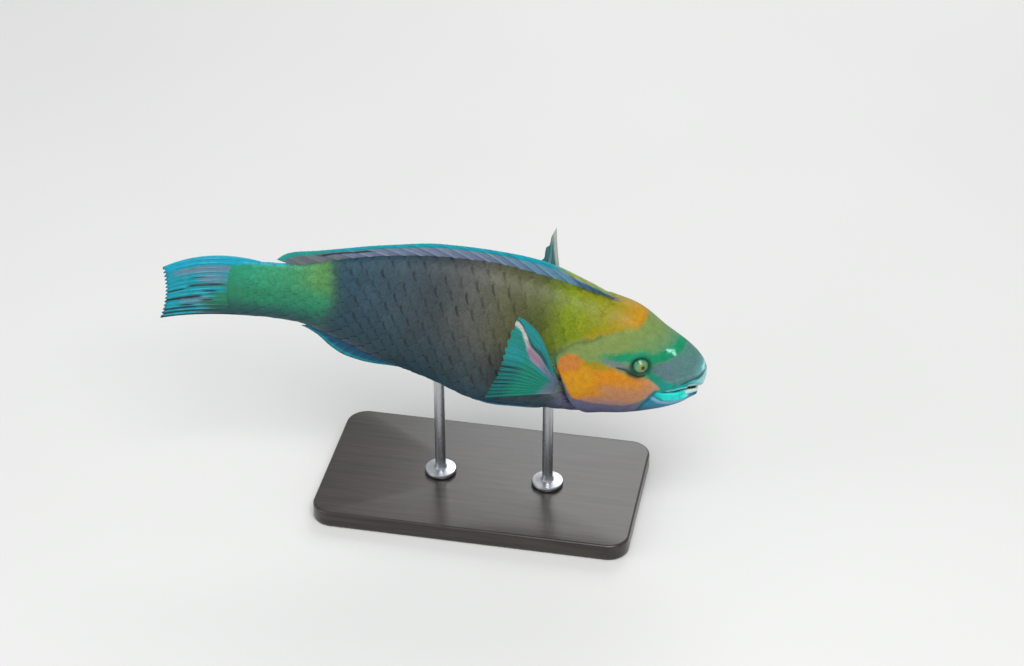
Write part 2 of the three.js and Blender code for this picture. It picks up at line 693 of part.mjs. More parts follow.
const model = new THREE.Group();
model.add(named('stand_base', buildBase()));
for (const [name, s] of Object.entries(ROD_STATIONS)) model.add(named(name, buildRod(s, fish)));
model.add(fish);

// The origin goes under the middle of the whole model's box
const middle = new THREE.Box3().setFromObject(model, true).getCenter(new THREE.Vector3());
model.position.set(-middle.x, -middle.y, 0);

export default model;
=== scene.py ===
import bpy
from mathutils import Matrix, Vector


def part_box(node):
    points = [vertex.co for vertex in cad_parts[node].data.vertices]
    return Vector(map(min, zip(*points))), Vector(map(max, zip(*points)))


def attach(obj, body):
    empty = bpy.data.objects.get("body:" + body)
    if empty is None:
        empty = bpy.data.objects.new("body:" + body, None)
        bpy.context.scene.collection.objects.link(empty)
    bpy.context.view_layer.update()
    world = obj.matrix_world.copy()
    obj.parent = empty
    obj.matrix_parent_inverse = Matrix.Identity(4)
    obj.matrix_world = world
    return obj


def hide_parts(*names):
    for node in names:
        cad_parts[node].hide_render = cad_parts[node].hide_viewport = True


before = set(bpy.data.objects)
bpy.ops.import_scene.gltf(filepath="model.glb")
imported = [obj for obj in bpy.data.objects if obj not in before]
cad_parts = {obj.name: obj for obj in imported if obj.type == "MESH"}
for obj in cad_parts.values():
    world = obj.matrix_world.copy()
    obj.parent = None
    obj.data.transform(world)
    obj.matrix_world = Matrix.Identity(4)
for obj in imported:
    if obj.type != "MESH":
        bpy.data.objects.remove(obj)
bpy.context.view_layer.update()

from math import cos, pi, radians, sin

import bpy
import numpy as np
from bpy.props import FloatProperty, FloatVectorProperty, IntProperty, PointerProperty
from bpy.types import Operator, Panel, PropertyGroup
from mathutils import Vector

bl_info = {
    "name": "Parrotfish display model",
    "version": (1, 0, 0),
    "blender": (4, 5, 0),
    "location": "View3D > Sidebar > Parrotfish",
    "description": "Builds a life-size painted model of a parrotfish on its display stand",
    "category": "Object",
}

# A place on the fish is given in millimetres as s, the distance behind the snout, with y to its left and z up
MM = 0.001
TOTAL_LENGTH = 300
STANDARD_LENGTH = 256
MIDDLE = TOTAL_LENGTH / 2
MIDDLE_HEIGHT = 115
SWING_START = 170
BASE_AHEAD = 25
SECTIONS = np.array([
    (0, 0, 0, 0), (4, 9.6, -13.4, 6.2), (12, 16.2, -21.4, 10.4), (25, 23, -28, 14.8), (45, 34, -34.7, 19.3),
    (70, 38.3, -39.2, 20.5), (95, 42, -42.6, 21.2), (120, 43.7, -45.8, 21.5), (150, 41, -38.8, 18),
    (180, 34.7, -33, 13.5), (205, 27.6, -24.8, 9.2), (230, 20, -17.7, 5.7), (256, 19.5, -17, 3.7),
])
SECTION_POWER = 2.2
WIDEST_DROP = 0.04
PEDUNCLE_END = 267
PEDUNCLE_END_HALF = 0.5
EYE = {
    "s": 35.1, "z": 7.3, "radius": 5.0, "sunk": 3.2, "rim": 0.8, "rim_radius": 6.6, "rim_width": 1.9,
    "cornea": 0.3, "gaze": (0.26, 0, 0.03),
}
# Degrees from the gaze: pupil to 9, iris to 28, then a green rim that darkens
EYE_RINGS = (
    (9, "pupil"), (13, "iris"), (28, "iris"), (36, "iris_edge"), (50, "iris_rim"), (68, "eye_shade"),
)
NOSTRILS = ((19.8, 14.8, 1.0), (23.2, 15.3, 0.8))
GILL_TOP = 18
GILL_LIFT = 1.2
GILL_EDGE = [
    (-60, 40), (-38, 58), (-23.7, 70.5), (-10, 75.8), (-5.4, 77.6), (4, 81), (10, 78.6), (17, 73.5), (36, 52),
    (60, 26),
]
MOUTH_UPPER = [
    (-8, -8.6), (1.1, -8.6), (2, -7.2), (3, -6.1), (4.2, -5.6), (6.5, -5.6), (9, -5.9), (12, -6.5),
    (15.5, -7.6), (19, -8.4), (22, -8.95),
]
MOUTH_LOWER = [
    (3.2, -10.4), (3.5, -9), (4.2, -8), (6.5, -7.9), (9, -8), (12, -8.3), (15.5, -8.85), (19, -9.1),
    (22, -9.25),
]
JAW_FRONT = 3.2
MOUTH_CORNER = 22
SOFT_EDGE = 0.2
BEAK = {"upper_back": 8.5, "lower_back": 12, "upper": 2.4, "lower": 3.1, "inset": 0.3, "depth": 1.6}


def linear(code):
    """One sRGB hex colour as linear red, green and blue: the inverse of the sRGB curve."""
    part = np.array([int(code[i:i + 2], 16) / 255 for i in (1, 3, 5)])
    return np.where(part <= 0.04045, part / 12.92, ((part + 0.055) / 1.055) ** 2.4)


def smooth(low, high, x):
    """0 below low, 1 above high, and 3t^2 - 2t^3 between."""
    t = np.clip((np.asarray(x, float) - low) / (high - low), 0, 1)
    return t * t * (3 - 2 * t)


def mix(low, high, t):
    """Straight between low at t 0 and high at t 1."""
    return low + (high - low) * t


def monotone(points):
    """A cubic through points that never overshoots them: a tangent is the weighted harmonic mean of its two
    slopes."""
    xs, ys = np.array(points, float).T
    width = np.diff(xs)
    slope = np.diff(ys) / width
    before, after = slope[:-1], slope[1:]
    w1 = 2 * width[1:] + width[:-1]
    w2 = width[1:] + 2 * width[:-1]
    same = before * after > 0
    safe = np.where(same, w1 / np.where(same, before, 1) + w2 / np.where(same, after, 1), 1)
    tangent = np.concatenate([[0], np.where(same, (w1 + w2) / safe, 0), [0]])
    for end, near, step in ((0, 0, 1), (-1, -1, -1)):
        a, b, m, n = width[near], width[near + step], slope[near], slope[near + step]
        guess = ((2 * a + b) * m - a * n) / (a + b)
        steep = m * n <= 0 and abs(guess) > 3 * abs(m)
        tangent[end] = 0 if guess * m <= 0 else (3 * m if steep else guess)

    def at(x):
        x = np.clip(np.asarray(x, float), xs[0], xs[-1])
        i = np.clip(np.searchsorted(xs, x, side="right") - 1, 0, len(width) - 1)
        t = (x - xs[i]) / width[i]
        rise = t * t * (3 - 2 * t)
        lead = t * (1 - t) ** 2 * width[i] * tangent[i]
        trail = t * t * (t - 1) * width[i] * tangent[i + 1]
        return ys[i] * (1 - rise) + ys[i + 1] * rise + lead + trail

    return at


STATION = np.sqrt(SECTIONS[:, 0] / STANDARD_LENGTH)
top_at = monotone(np.stack([STATION, SECTIONS[:, 1]], 1))
bottom_at = monotone(np.stack([STATION, SECTIONS[:, 2]], 1))
half_at = monotone(np.stack([STATION, SECTIONS[:, 3]], 1))
gill_edge = monotone(GILL_EDGE)
mouth_upper = monotone(MOUTH_UPPER)
mouth_lower = monotone(MOUTH_LOWER)


def station(s):
    """Stations run in the square root of s, which rounds the snout."""
    return np.sqrt(np.maximum(s, 0) / STANDARD_LENGTH)


def section(s):
    """Top, bottom, half width and height of the widest place at s."""
    u = station(s)
    top, bottom = top_at(u), bottom_at(u)
    past = np.maximum(s - STANDARD_LENGTH, 0) / (PEDUNCLE_END - STANDARD_LENGTH)
    widest = (top + bottom) / 2 - WIDEST_DROP * (top - bottom)
    return top, bottom, mix(half_at(u), PEDUNCLE_END_HALF, past), widest


def plain_point(s, angle):
    """A rounded oval: y = half |cos|^(2/n) and z = widest + reach |sin|^(2/n), with n = 2.2 and the signs
    kept."""
    top, bottom, half, middle = section(s)
    across = np.sign(np.cos(angle)) * np.abs(np.cos(angle)) ** (2 / SECTION_POWER)
    up = np.sign(np.sin(angle)) * np.abs(np.sin(angle)) ** (2 / SECTION_POWER)
    reach = np.where(up > 0, top - middle, middle - bottom)
    return np.stack([MIDDLE - s, half * across, middle + reach * up], -1)


def outward(s, angle):
    """The direction that faces out of the body: the cross product of small steps along it and round it."""
    t = np.maximum(station(s), 0.004)
    ahead, back = (plain_point(STANDARD_LENGTH * (t + step) ** 2, angle) for step in (0.003, -0.003))
    here = STANDARD_LENGTH * t ** 2
    around = plain_point(here, angle + 0.01) - plain_point(here, angle - 0.01)
    normal = np.cross(ahead - back, around)
    return normal / np.linalg.norm(normal, axis=-1, keepdims=True)


def angle_on(s, z, side):
    """The angle at which the section at s has the height z, on the left (side 1) or right (side -1)."""
    top, bottom, _, middle = section(s)
    reach = np.where(z > middle, top - middle, middle - bottom)
    up = np.clip(np.abs(z - middle) / reach, 0, 1) ** (SECTION_POWER / 2)
    rise = np.arcsin(up) * np.sign(z - middle)
    return np.where(np.asarray(side) > 0, rise, pi - rise)


def swellings(s, z):
    """Rims of the eyes, upper lip and gill covers, as heights over the plain body."""
    from_eye = np.hypot(s - EYE["s"], z - EYE["z"])
    rim = EYE["rim"] * np.exp(-((from_eye - EYE["rim_radius"]) / EYE["rim_width"]) ** 2)
    lip = smooth(0, 1.6, 5.4 - 0.33 * s - z) * (1 - smooth(4, 8, mouth_lower(s) - z))
    height = smooth(-42, -30, z) * (1 - smooth(9, GILL_TOP, z))
    cover = GILL_LIFT * height * smooth(46, gill_edge(z), s) ** 2
    return (rim + 0.7 * lip * (1 - smooth(17, 25, s)) + cover * (s < gill_edge(z))) * smooth(0, 3, s)


def open_mouth(s, z):
    """1 between the jaws and 0 outside. In front of the lower jaw all that lies under the upper edge is
    open."""
    low = np.where(s < JAW_FRONT, -20, mouth_lower(s))
    between = smooth(-SOFT_EDGE, SOFT_EDGE, mouth_upper(s) - z) * smooth(-SOFT_EDGE, SOFT_EDGE, z - low)
    return between * (1 - smooth(MOUTH_CORNER - 0.4, MOUTH_CORNER + 0.6, s))


def in_world(points, pose):
    """Millimetres on the straight fish to metres in the frame: the tail swings by a parabola, then the nose
    dips."""
    x, y, z = np.moveaxis(np.asarray(points, float), -1, 0)
    past = np.maximum(MIDDLE - x - SWING_START, 0) / (TOTAL_LENGTH - SWING_START)
    y = y - pose.tail_swing / MM * past ** 2
    dip_cos, dip_sin = cos(pose.nose_down), sin(pose.nose_down)
    turned = np.stack([x * dip_cos + z * dip_sin, y, MIDDLE_HEIGHT - x * dip_sin + z * dip_cos], -1)
    low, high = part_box("stand_base")
    return turned * MM + np.array([(low.x + high.x) / 2 - BASE_AHEAD * MM, 0, 0])


# Colours of the paint, in plain light
PALETTE = {
    "flank_olive": ("#50572d", "Flank just behind the nape"),
    "flank_brown": ("#53543a", "Flank, a third of the way back"),
    "flank_dusky": ("#4f504b", "Middle of the flank"),
    "flank_grey": ("#363e42", "Flank behind the middle"),
    "flank_slate": ("#344650", "Flank before the tail, upper side"),
    "flank_blue": ("#284350", "End of the dusky flank, upper side"),
    # The lower flank and belly are bluer and darker; the darkening is painted shade under the body.
    "low_front": ("#3f4648", "Lower flank, front"),
    "low_middle": ("#24373e", "Lower flank, middle"),
    "low_rear": ("#1c3a46", "Lower flank, rear"),
    "belly": ("#2c4c5c", "Edge of the belly"),
    "tail_border": ("#2f5348", "Dark border before the green tail base"),
    "tail_bright": ("#46875a", "Upper tail base"),
    "tail_upper": ("#2f8c6e", "Upper tail base, rear"),
    "tail_middle": ("#2b7859", "Middle of the tail base"),
    "tail_low": ("#1a4648", "Lower tail base"),
    "nape_front": ("#c0781c", "Front tip of the nape"),
    "nape_orange": ("#b48408", "Nape, orange"),
    "nape_gold": ("#a47e00", "Nape, gold"),
    "nape_yellow": ("#907f04", "Nape, yellow"),
    "nape_green": ("#7e8116", "Nape, yellow-green"),
    "nape_olive": ("#6a7c1a", "Nape, olive"),
    "nape_line": ("#45562c", "Dark line under the nape"),
    "forehead_front": ("#5a8262", "Forehead, front"),
    "forehead": ("#688a58", "Forehead"),
    "forehead_high": ("#748848", "Top of the head"),
    "temple": ("#76894e", "Behind the eye"),
    "shoulder": ("#518662", "Behind the gill cover"),
    "snout_pale": ("#66a0a2", "Front of the snout"),
    "snout": ("#537877", "Snout"),
    "snout_mauve": ("#557074", "Snout, before the eye"),
    "snout_top": ("#4a7d70", "Top of the snout"),
    "band_lip": ("#008a80", "Teal band over the upper lip"),
    "band_rear": ("#0c8166", "Teal band below the eye"),
    "band_eye": ("#08845c", "Green band through the nostrils and the eye"),
    # Lip white is also laid as a painted highlight down the front of the snout.
    "lip_white": ("#a9dcdc", "Front of the upper lip"),
    "lip_pale": ("#62b0ba", "Upper lip"),
    "lip_teal": ("#1f9094", "Upper lip, rear"),
    "lip_edge": ("#74ccd2", "Edge of the upper lip"),
    "lip_line": ("#16484a", "Dark line over the upper lip"),
    "chin_deep": ("#285a80", "Front of the chin"),
    "chin": ("#187c98", "Chin"),
    "chin_low": ("#20406a", "Underside of the chin"),
    "lower_lip": ("#00d4cc", "Lower lip"),
    "lower_lip_pale": ("#7adfd6", "Lower lip, front"),
    "lower_lip_green": ("#0c9c8a", "Corner of the lower lip"),
    "under_lip": ("#8fbcd8", "Pale stripe under the lower lip"),
    "cheek": ("#c5843a", "Cheek"),
    "cheek_front": ("#ae856c", "Front of the cheek"),
    "cheek_rear": ("#c4802a", "Rear of the cheek"),
    "cheek_salmon": ("#a87c62", "Lower cheek"),
    "cheek_gold": ("#c58a04", "Gold patch of the gill cover"),
    "cheek_spot": ("#bc7a42", "Orange spot of the gill cover"),
    "cheek_pink": ("#94797a", "Lower edge of the cheek"),
    "throat": ("#60607a", "Throat"),
    # The darker underside of the throat is painted shade.
    "throat_low": ("#2f3548", "Underside of the throat"),
    "seam": ("#2e4a48", "Dark line behind the mouth"),
    "streak": ("#68707e", "Streak behind the eye"),
    "eye_shade": ("#0e4534", "Ring round the eye"),
    # The rim of the nostril is a painted highlight.
    "nostril": ("#a8e6d4", "Rim of the nostril"),
    # Dark is painted shade in the gill slit and mouth and painted shadow under the eye and along the dorsal
    # fin's fold; the tail fin's gaps use it too.
    "dark": ("#0f1719", "Gill slit and mouth"),
    "tooth": ("#cfe8dc", "Tooth plates"),
    "tooth_edge": ("#8fcfc6", "Gum edge of the tooth plates"),
    "iris": ("#76894f", "Iris"),
    "iris_rim": ("#3c7a5c", "Rim of the iris"),
    "iris_edge": ("#5f9472", "Outer iris"),
    "pupil": ("#0d120f", "Pupil"),
    "fin_cyan": ("#1a9fbc", "Margins and rays of the fins"),
    "fin_teal": ("#138a8c", "Teal of the fins"),
    "fin_green": ("#08836c", "Web of the pectoral fin"),
    "fin_blue": ("#0d4c6c", "Anal fin"),
    # Fin navy is also painted shade in the groove before the dorsal fin and at the dorsal fin's front and
    # root.
    "fin_navy": ("#10263e", "Dark edges and gaps of the fins"),
    "fin_mauve": ("#747f96", "Lavender bands of the fins"),
    "fin_pink": ("#9a8498", "Pink band of the pectoral fin"),
    "fin_white": ("#c3c4bc", "Tip of the pink band"),
    "fin_lobe": ("#5f6468", "Rear lobe of the dorsal fin"),
    "fin_rim": ("#9aa24c", "Front rim of the dorsal fin"),
    "fin_grey": ("#47696e", "Far side of the pectoral fin"),
}


def colour_property(key):
    """One paint colour as a property with its default from the palette."""
    code, about = PALETTE[key]
    name = key.replace("_", " ").capitalize()
    return FloatVectorProperty(
        name=name, description=about, subtype="COLOR", min=0, max=1, default=linear(code),
    )


class ParrotfishColours(PropertyGroup):
    """Paint colours of the fish."""
    __annotations__ = {key: colour_property(key) for key in PALETTE}


class ParrotfishPose(PropertyGroup):
    """Pose of the fish."""
    nose_down: FloatProperty(
        name="Nose down", description="How far the snout dips", default=radians(6.5), subtype="ANGLE",
    )
    tail_swing: FloatProperty(
        name="Tail swing", description="How far the tail's tip lies to the right", default=24 * MM,
        subtype="DISTANCE",
    )


class ParrotfishScales(PropertyGroup):
    """Sizes of the scales."""
    pitch: FloatProperty(
        name="Pitch", description="Distance between scales in a row", default=8.75 * MM, subtype="DISTANCE",
    )
    lift: FloatProperty(
        name="Lift", description="Height of a scale's rear edge over the skin", default=0.5 * MM,
        subtype="DISTANCE",
    )
    rows: IntProperty(
        name="Rows", description="Rows of scales round the body, an even number", default=26, min=8,
    )


class ParrotfishFins(PropertyGroup):
    """Sizes of the fins."""
    web: FloatProperty(
        name="Web", description="Thickness of the web between rays", default=0.45 * MM, subtype="DISTANCE",
    )
    ray: FloatProperty(
        name="Ray", description="Thickness of a ray at its root", default=1.4 * MM, subtype="DISTANCE",
    )


class Brush:
    """Mixes the paint colours over places on the fish."""

    def __init__(self, colours):
        self.colours = colours

    def tone(self, key):
        return np.array(getattr(self.colours, key)[:])

    def ramp(self, x, *stops):
        """The colour at x, straight between stops of (x, colour)."""
        tones = np.array([self.tone(key) for _, key in stops])
        places = [place for place, _ in stops]
        return np.stack([np.interp(x, places, tones[:, k]) for k in range(3)], -1)

    def lay(self, base, colour, weight):
        """colour laid over base, by a weight from 0 to 1."""
        colour = self.tone(colour) if isinstance(colour, str) else colour
        return base + (colour - base) * np.clip(weight, 0, 1)[..., None]


def line(s, points):
    """Height of a line through a few (s, z) points, straight between them."""
    places, heights = np.array(points, float).T
    return np.interp(s, places, heights)


def stroke(s, z, points, width):
    """1 on a line through the points, fading as exp(-(distance / width)^2). The width may differ between
    points."""
    points = np.array(points, float)
    width = np.broadcast_to(np.asarray(width, float), len(points))
    best = np.zeros(np.broadcast(s, z).shape)
    for (s0, z0), (s1, z1), w0, w1 in zip(points, points[1:], width, width[1:]):
        run_s, run_z = s1 - s0, z1 - z0
        t = np.clip(((s - s0) * run_s + (z - z0) * run_z) / (run_s ** 2 + run_z ** 2), 0, 1)
        off = (s - s0 - t * run_s) ** 2 + (z - z0 - t * run_z) ** 2
        best = np.maximum(best, np.exp(-off / mix(w0, w1, t) ** 2))
    return best


def spot(s, z, centre, radii, soft=0.35):
    """1 inside an oval, fading to 0 across its edge."""
    far = np.hypot((s - centre[0]) / radii[0], (z - centre[1]) / radii[1])
    return 1 - smooth(1 - soft, 1 + soft, far)


NAPE_LINE = [
    (30, 33.5), (34, 31.5), (37, 28.8), (43, 26.8), (50, 25.8), (57, 23), (65, 19), (72, 16), (78, 12),
    (83, 7), (90, -2), (100, -10),
]
CHEEK_TOP = [
    (22, -7), (26, -3.4), (30, 0), (34, 0.8), (40, 1.2), (48, 3.6), (55, 5.8), (62, 5.6), (67, 6.5), (70, 9),
    (75, 9), (78, 6), (80, 0),
]
CHEEK_LOW = [
    (22, -7), (26, -8), (29, -13), (34, -18), (42, -21.5), (55, -22.5), (63, -21.5), (69, -19), (72, -14),
    (76, -6), (78.5, -2), (80, 0),
]
SNOUT_TOP = [
    (0, 30), (9.5, 27), (12, 21.5), (13.5, 17.8), (15.4, 14.2), (18.8, 12.2), (23.5, 10.2), (30, 8), (33, 5),
]
SNOUT_LOW = [
    (0, 5), (1.6, 3.6), (3.2, 1.8), (5, 0.6), (8.4, -0.8), (13, -2.5), (17, -2.8), (20.9, -0.9), (24.5, 1.3),
    (28, 4),
    (31, 7),
]
LIP_TOP = [(0, 4.4), (1.6, 3.4), (3.2, 1.6), (4.9, 0.3), (8.4, -1.2), (13, -4), (19, -6.4), (24, -8)]
LIP_LOW = [(6, -10.5), (9, -12.6), (14, -14.6), (20, -14.4), (25, -11.7), (27, -8)]
TAIL_EDGE = [(-20, 222), (-10.6, 214), (5.5, 207), (25, 211), (40, 214)]


def body_markings(brush, s, z):
    """Dusky flank from olive to blue, bluer below and darker below as painted shade, with the edge of the
    belly darkest, and a green tail base with a slanting front edge.
    """
    upper = brush.ramp(
        s, (95, "flank_olive"), (108, "flank_brown"), (128, "flank_dusky"), (150, "flank_grey"),
        (175, "flank_slate"),
        (200, "flank_blue"),
    )
    # Painted shade: the lower flank is bluer and also darker, the darkening standing for shade under the
    # body.
    lower = brush.ramp(s, (100, "low_front"), (150, "low_middle"), (200, "low_rear"))
    colour = brush.lay(upper, lower, 1 - smooth(-20, 14, z))
    behind = s - np.interp(z, *np.array(TAIL_EDGE, float).T)
    tail = brush.ramp(s, (215, "tail_bright"), (262, "tail_upper"))
    tail = brush.lay(tail, "nape_olive", 0.3 * (1 - smooth(214, 234, s)) * smooth(2, 14, z))
    tail = brush.lay(brush.tone("tail_middle"), tail, smooth(-2, 15, z))
    tail = brush.lay(tail, "tail_low", 1 - smooth(-14, 0, z))
    colour = brush.lay(colour, "tail_border", 0.7 * smooth(-9, -1, behind))
    colour = brush.lay(colour, tail, smooth(-3, 3, behind))
    # Painted shade along the edge of the belly.
    return brush.lay(colour, "belly", 0.6 * (1 - smooth(-38, -18, z)) * (1 - smooth(150, 190, s)))


def crown_markings(brush, colour, s, z):
    """Grey-green crown, and over a slanting line the nape from orange through yellow to olive."""
    crown = brush.ramp(s, (20, "forehead_front"), (30, "forehead"), (45, "temple"), (84, "temple"))
    crown = brush.lay(crown, "forehead_high", 0.7 * smooth(18, 27, z))
    colour = brush.lay(colour, crown, (1 - smooth(78, 88, s + 0.25 * z)) * smooth(-24, -16, z))
    beside = smooth(76, 80, s) * (1 - smooth(86, 96, s)) * (1 - smooth(2, 12, z)) * smooth(-24, -12, z)
    colour = brush.lay(colour, "shoulder", 0.6 * beside)
    nape = brush.ramp(
        s, (36, "nape_front"), (41, "nape_orange"), (46, "nape_gold"), (52, "nape_yellow"),
        (62, "nape_green"), (78, "nape_olive"), (92, "flank_olive"), (108, "flank_brown"),
    )
    above = smooth(-2.6, 3, z - line(s, NAPE_LINE)) * smooth(32, 40.5, s)
    colour = brush.lay(colour, nape, above * (1 - smooth(100, 118, s - 0.35 * (z - 20))) * smooth(-12, 6, z))
    colour = brush.lay(colour, "nape_gold", 0.5 * stroke(s, z, [(52, 25.6), (58, 23), (66, 19.6)], 1.3))
    below = stroke(s, z, [(58, 21), (66, 17), (73, 14), (79, 9.5), (83, 5)], [0.7, 1, 1.2, 1.2, 1.2])
    return brush.lay(colour, "nape_line", 0.55 * below)


def snout_markings(brush, colour, s, z):
    """Grey snout edged by a teal band below and a green band through the nostrils and the eye above, with a
    painted highlight down its front.
    """
    before = 1 - smooth(28, 33, s)
    over_lip = smooth(-0.8, 0.8, line(s, SNOUT_LOW) - z) * before * smooth(-26, -20, z)
    colour = brush.lay(
        colour, brush.ramp(s, (6, "lip_teal"), (12, "band_lip"), (20, "band_lip"), (30, "band_rear")),
        over_lip,
    )
    snout = brush.ramp(s, (2, "snout_pale"), (7, "snout"), (14, "snout"), (22, "snout_mauve"))
    snout = brush.lay(snout, "snout_top", 0.7 * smooth(9, 16, z))
    inside = smooth(-0.8, 0.8, line(s, SNOUT_TOP) - z) * smooth(-0.8, 0.8, z - line(s, SNOUT_LOW))
    colour = brush.lay(colour, snout, inside * (1 - smooth(28, 32, s)))
    path = [
        (12.6, 24), (14.6, 20), (17.5, 16.4), (21.5, 14), (26, 12), (30, 11.4), (36, 13.4), (42, 12),
        (48, 10.6),
        (57, 10),
    ]
    band = stroke(s, z, path, [3, 3.6, 3.8, 3.6, 3.2, 3.2, 3.2, 3, 2.6, 1.6])
    above = smooth(-1, 1.2, z - line(s, SNOUT_TOP))
    fading = (1 - 0.6 * smooth(46, 60, s)) * (1 - 0.35 * smooth(17, 24, z))
    colour = brush.lay(colour, "band_eye", np.clip(1.25 * band, 0, 1) * above * fading)
    colour = brush.lay(
        colour, "band_rear", 0.9 * stroke(s, z, [(24, -1), (28, 1), (30.5, 4), (31.5, 7)], 1.8),
    )
    lip = smooth(-0.5, 0.5, line(s, LIP_TOP) - z) * (1 - smooth(17, 24, s)) * smooth(-14, -11, z)
    colour = brush.lay(
        colour, brush.ramp(s, (1, "lip_white"), (5, "lip_pale"), (9, "lip_teal"), (15, "band_lip")), lip,
    )
    # Painted highlight: a white streak down the front of the snout.
    colour = brush.lay(
        colour, "lip_white", 0.9 * stroke(s, z, [(2.6, 8.5), (2.1, 5.8), (1.4, 3)], [0.5, 0.8, 0.9]),
    )
    over_lip = [(1.2, 4), (1.7, 3.3), (3.2, 1.5), (4.9, 0.3), (8.4, -1.1), (12, -3)]
    return brush.lay(colour, "lip_line", 0.9 * stroke(s, z, over_lip, [0.4, 0.6, 0.8, 0.8, 0.6, 0.4]))


def jaw_markings(brush, colour, s, z):
    """Blue chin, a pale stripe, and a bright cyan lower lip."""
    jaw = smooth(-0.3, 0.3, mouth_lower(s) + 0.2 - z) * (1 - smooth(26, 30, s + 0.35 * (z + 10)))
    chin = brush.lay(brush.ramp(s, (4, "chin_deep"), (14, "chin")), "chin_low", 1 - smooth(-27, -18, z))
    colour = brush.lay(colour, chin, jaw)
    stripe = stroke(
        s, z, [(5.5, -12.6), (9, -15.6), (16, -17.4), (22, -16.4), (26.5, -13.2)], [1, 1.3, 1.5, 1.5, 1],
    )
    colour = brush.lay(colour, "under_lip", 0.85 * stripe * jaw)
    lip = smooth(-0.9, 0.9, z - line(s, LIP_LOW)) * jaw * smooth(6, 9, s) * (1 - smooth(23.5, 27, s))
    return brush.lay(
        colour,
        brush.ramp(s, (7, "lower_lip_pale"), (12, "lower_lip"), (20, "lower_lip"), (26, "lower_lip_green")),
        lip,
    )


def cheek_markings(brush, colour, s, z):
    """Lavender throat and an orange cheek with a gold patch and an orange spot at its rear."""
    under = (1 - smooth(-1.5, 1.5, z - line(s, CHEEK_LOW))) * smooth(26.5, 31, s + 0.35 * (z + 10))
    colour = brush.lay(colour, "throat", under * (1 - smooth(72, 84, s)))
    # Painted shade: the underside of the throat is darker.
    colour = brush.lay(
        colour, "throat_low", 0.75 * (1 - smooth(-38, -26, z)) * smooth(24, 34, s) * (1 - smooth(75, 95, s)),
    )
    cheek = brush.ramp(s, (24, "cheek_front"), (36, "cheek"), (56, "cheek_rear"))
    cheek = brush.lay(cheek, "cheek_salmon", 0.8 * (1 - smooth(-12, -3, z)) * (1 - smooth(48, 62, s)))
    cheek = brush.lay(cheek, "cheek_gold", 0.9 * spot(s, z, (66, -7), (8.5, 10.5), 0.4))
    cheek = brush.lay(cheek, "nape_yellow", 0.85 * spot(s, z, (58, 4.6), (8, 3.2), 0.6))
    cheek = brush.lay(cheek, "cheek_spot", spot(s, z, (73, 3.6), (6.6, 5.8), 0.2))
    cheek = brush.lay(cheek, "cheek_pink", 0.75 * (1 - smooth(-20, -15.5, z)) * (1 - smooth(58, 68, s)))
    inside = smooth(-0.7, 0.7, line(s, CHEEK_TOP) - z) * smooth(-0.9, 0.9, z - line(s, CHEEK_LOW))
    colour = brush.lay(colour, cheek, inside * smooth(22, 23.5, s) * (1 - smooth(78.5, 80, s)))
    return brush.lay(
        colour, "seam",
        0.8 * stroke(s, z, [(24.6, -9), (27, -12.5), (31, -19), (33, -24)], [0.6, 0.8, 0.9, 0.6]),
    )


def fine_markings(brush, colour, s, z):
    """Streaks and rings round the eye with a painted shadow under it, a painted highlight on the rim of the
    nostril, and painted shade in the gill slit and the mouth.
    """
    colour = brush.lay(
        colour, "streak", 0.85 * stroke(s, z, [(40.5, 6), (47, 6.6), (54, 7.6)], [1.6, 2.2, 1.3]),
    )
    from_eye = np.hypot(s - EYE["s"], z - EYE["z"])
    colour = brush.lay(colour, "eye_shade", 0.85 * np.exp(-((from_eye - 5) / 1.3) ** 2))
    # Painted shadow: a dark crescent under and behind the eye.
    colour = brush.lay(
        colour, "dark",
        0.95 * stroke(
            s, z, [(32.5, 2.2), (36, 1.4), (39.8, 2.7), (42, 4.6), (47.5, 5)], [0.6, 1.3, 1.6, 1, 0.4],
        ),
    )
    # Painted highlight on the rim of the nostril.
    colour = brush.lay(
        colour, "nostril", stroke(s, z, [(18.2, 13.9), (19.6, 15.4), (22.8, 16.2)], [0.5, 0.8, 0.6]),
    )
    # Painted shade in the gill slit.
    slit = np.exp(-((s - gill_edge(z) - 0.7) / 1.6) ** 2) * (1 - smooth(-6, -2, z)) * smooth(-32, -24, z)
    colour = brush.lay(colour, "dark", np.clip(1.3 * slit, 0, 1))
    colour = brush.lay(
        colour, "lip_edge",
        0.85 * stroke(s, z, [(4.5, -4.7), (7, -4.8), (12, -5.6), (15.5, -6.8), (19, -7.6)], 0.6),
    )
    # Painted shade inside the open mouth.
    return brush.lay(colour, "dark", open_mouth(s, z))


def midline_markings(brush, colour, s, y, z):
    """A groove before the dorsal fin, painted as dark teal shade along the middle line with a yellow-green
    rim, and a cyan ridge on top of the tail base."""
    back = smooth(0, 10, z)
    groove = smooth(50, 56, s) * (1 - smooth(72, 82, s)) * back
    colour = brush.lay(colour, "nape_green", 0.8 * groove * np.exp(-((y + 4) / 1.6) ** 2))
    # Painted shade: a dark line along the middle of the groove.
    colour = brush.lay(colour, "fin_navy", 0.85 * groove * np.exp(-((np.abs(y) - 1) / 1) ** 2))
    ridge = smooth(-4, -2, z - section(s)[0]) * np.exp(-(y / 1.5) ** 4)
    return brush.lay(colour, "fin_cyan", smooth(230, 242, s) * back * ridge)


def wander(s, z, reach):
    """Moves a place by up to the reach in millimetres, by crossed sines, so that painted edges run
    unevenly."""
    along = np.sin(0.8 * z + 1.3 * np.sin(0.5 * s)) + 0.4 * np.sin(2.3 * z - 1.1 * s)
    across = np.sin(0.7 * s + 1.7 * np.sin(0.4 * z)) + 0.4 * np.sin(1.9 * s + 1.7 * z)
    return s + reach * along / 1.6, z + reach * across / 1.6


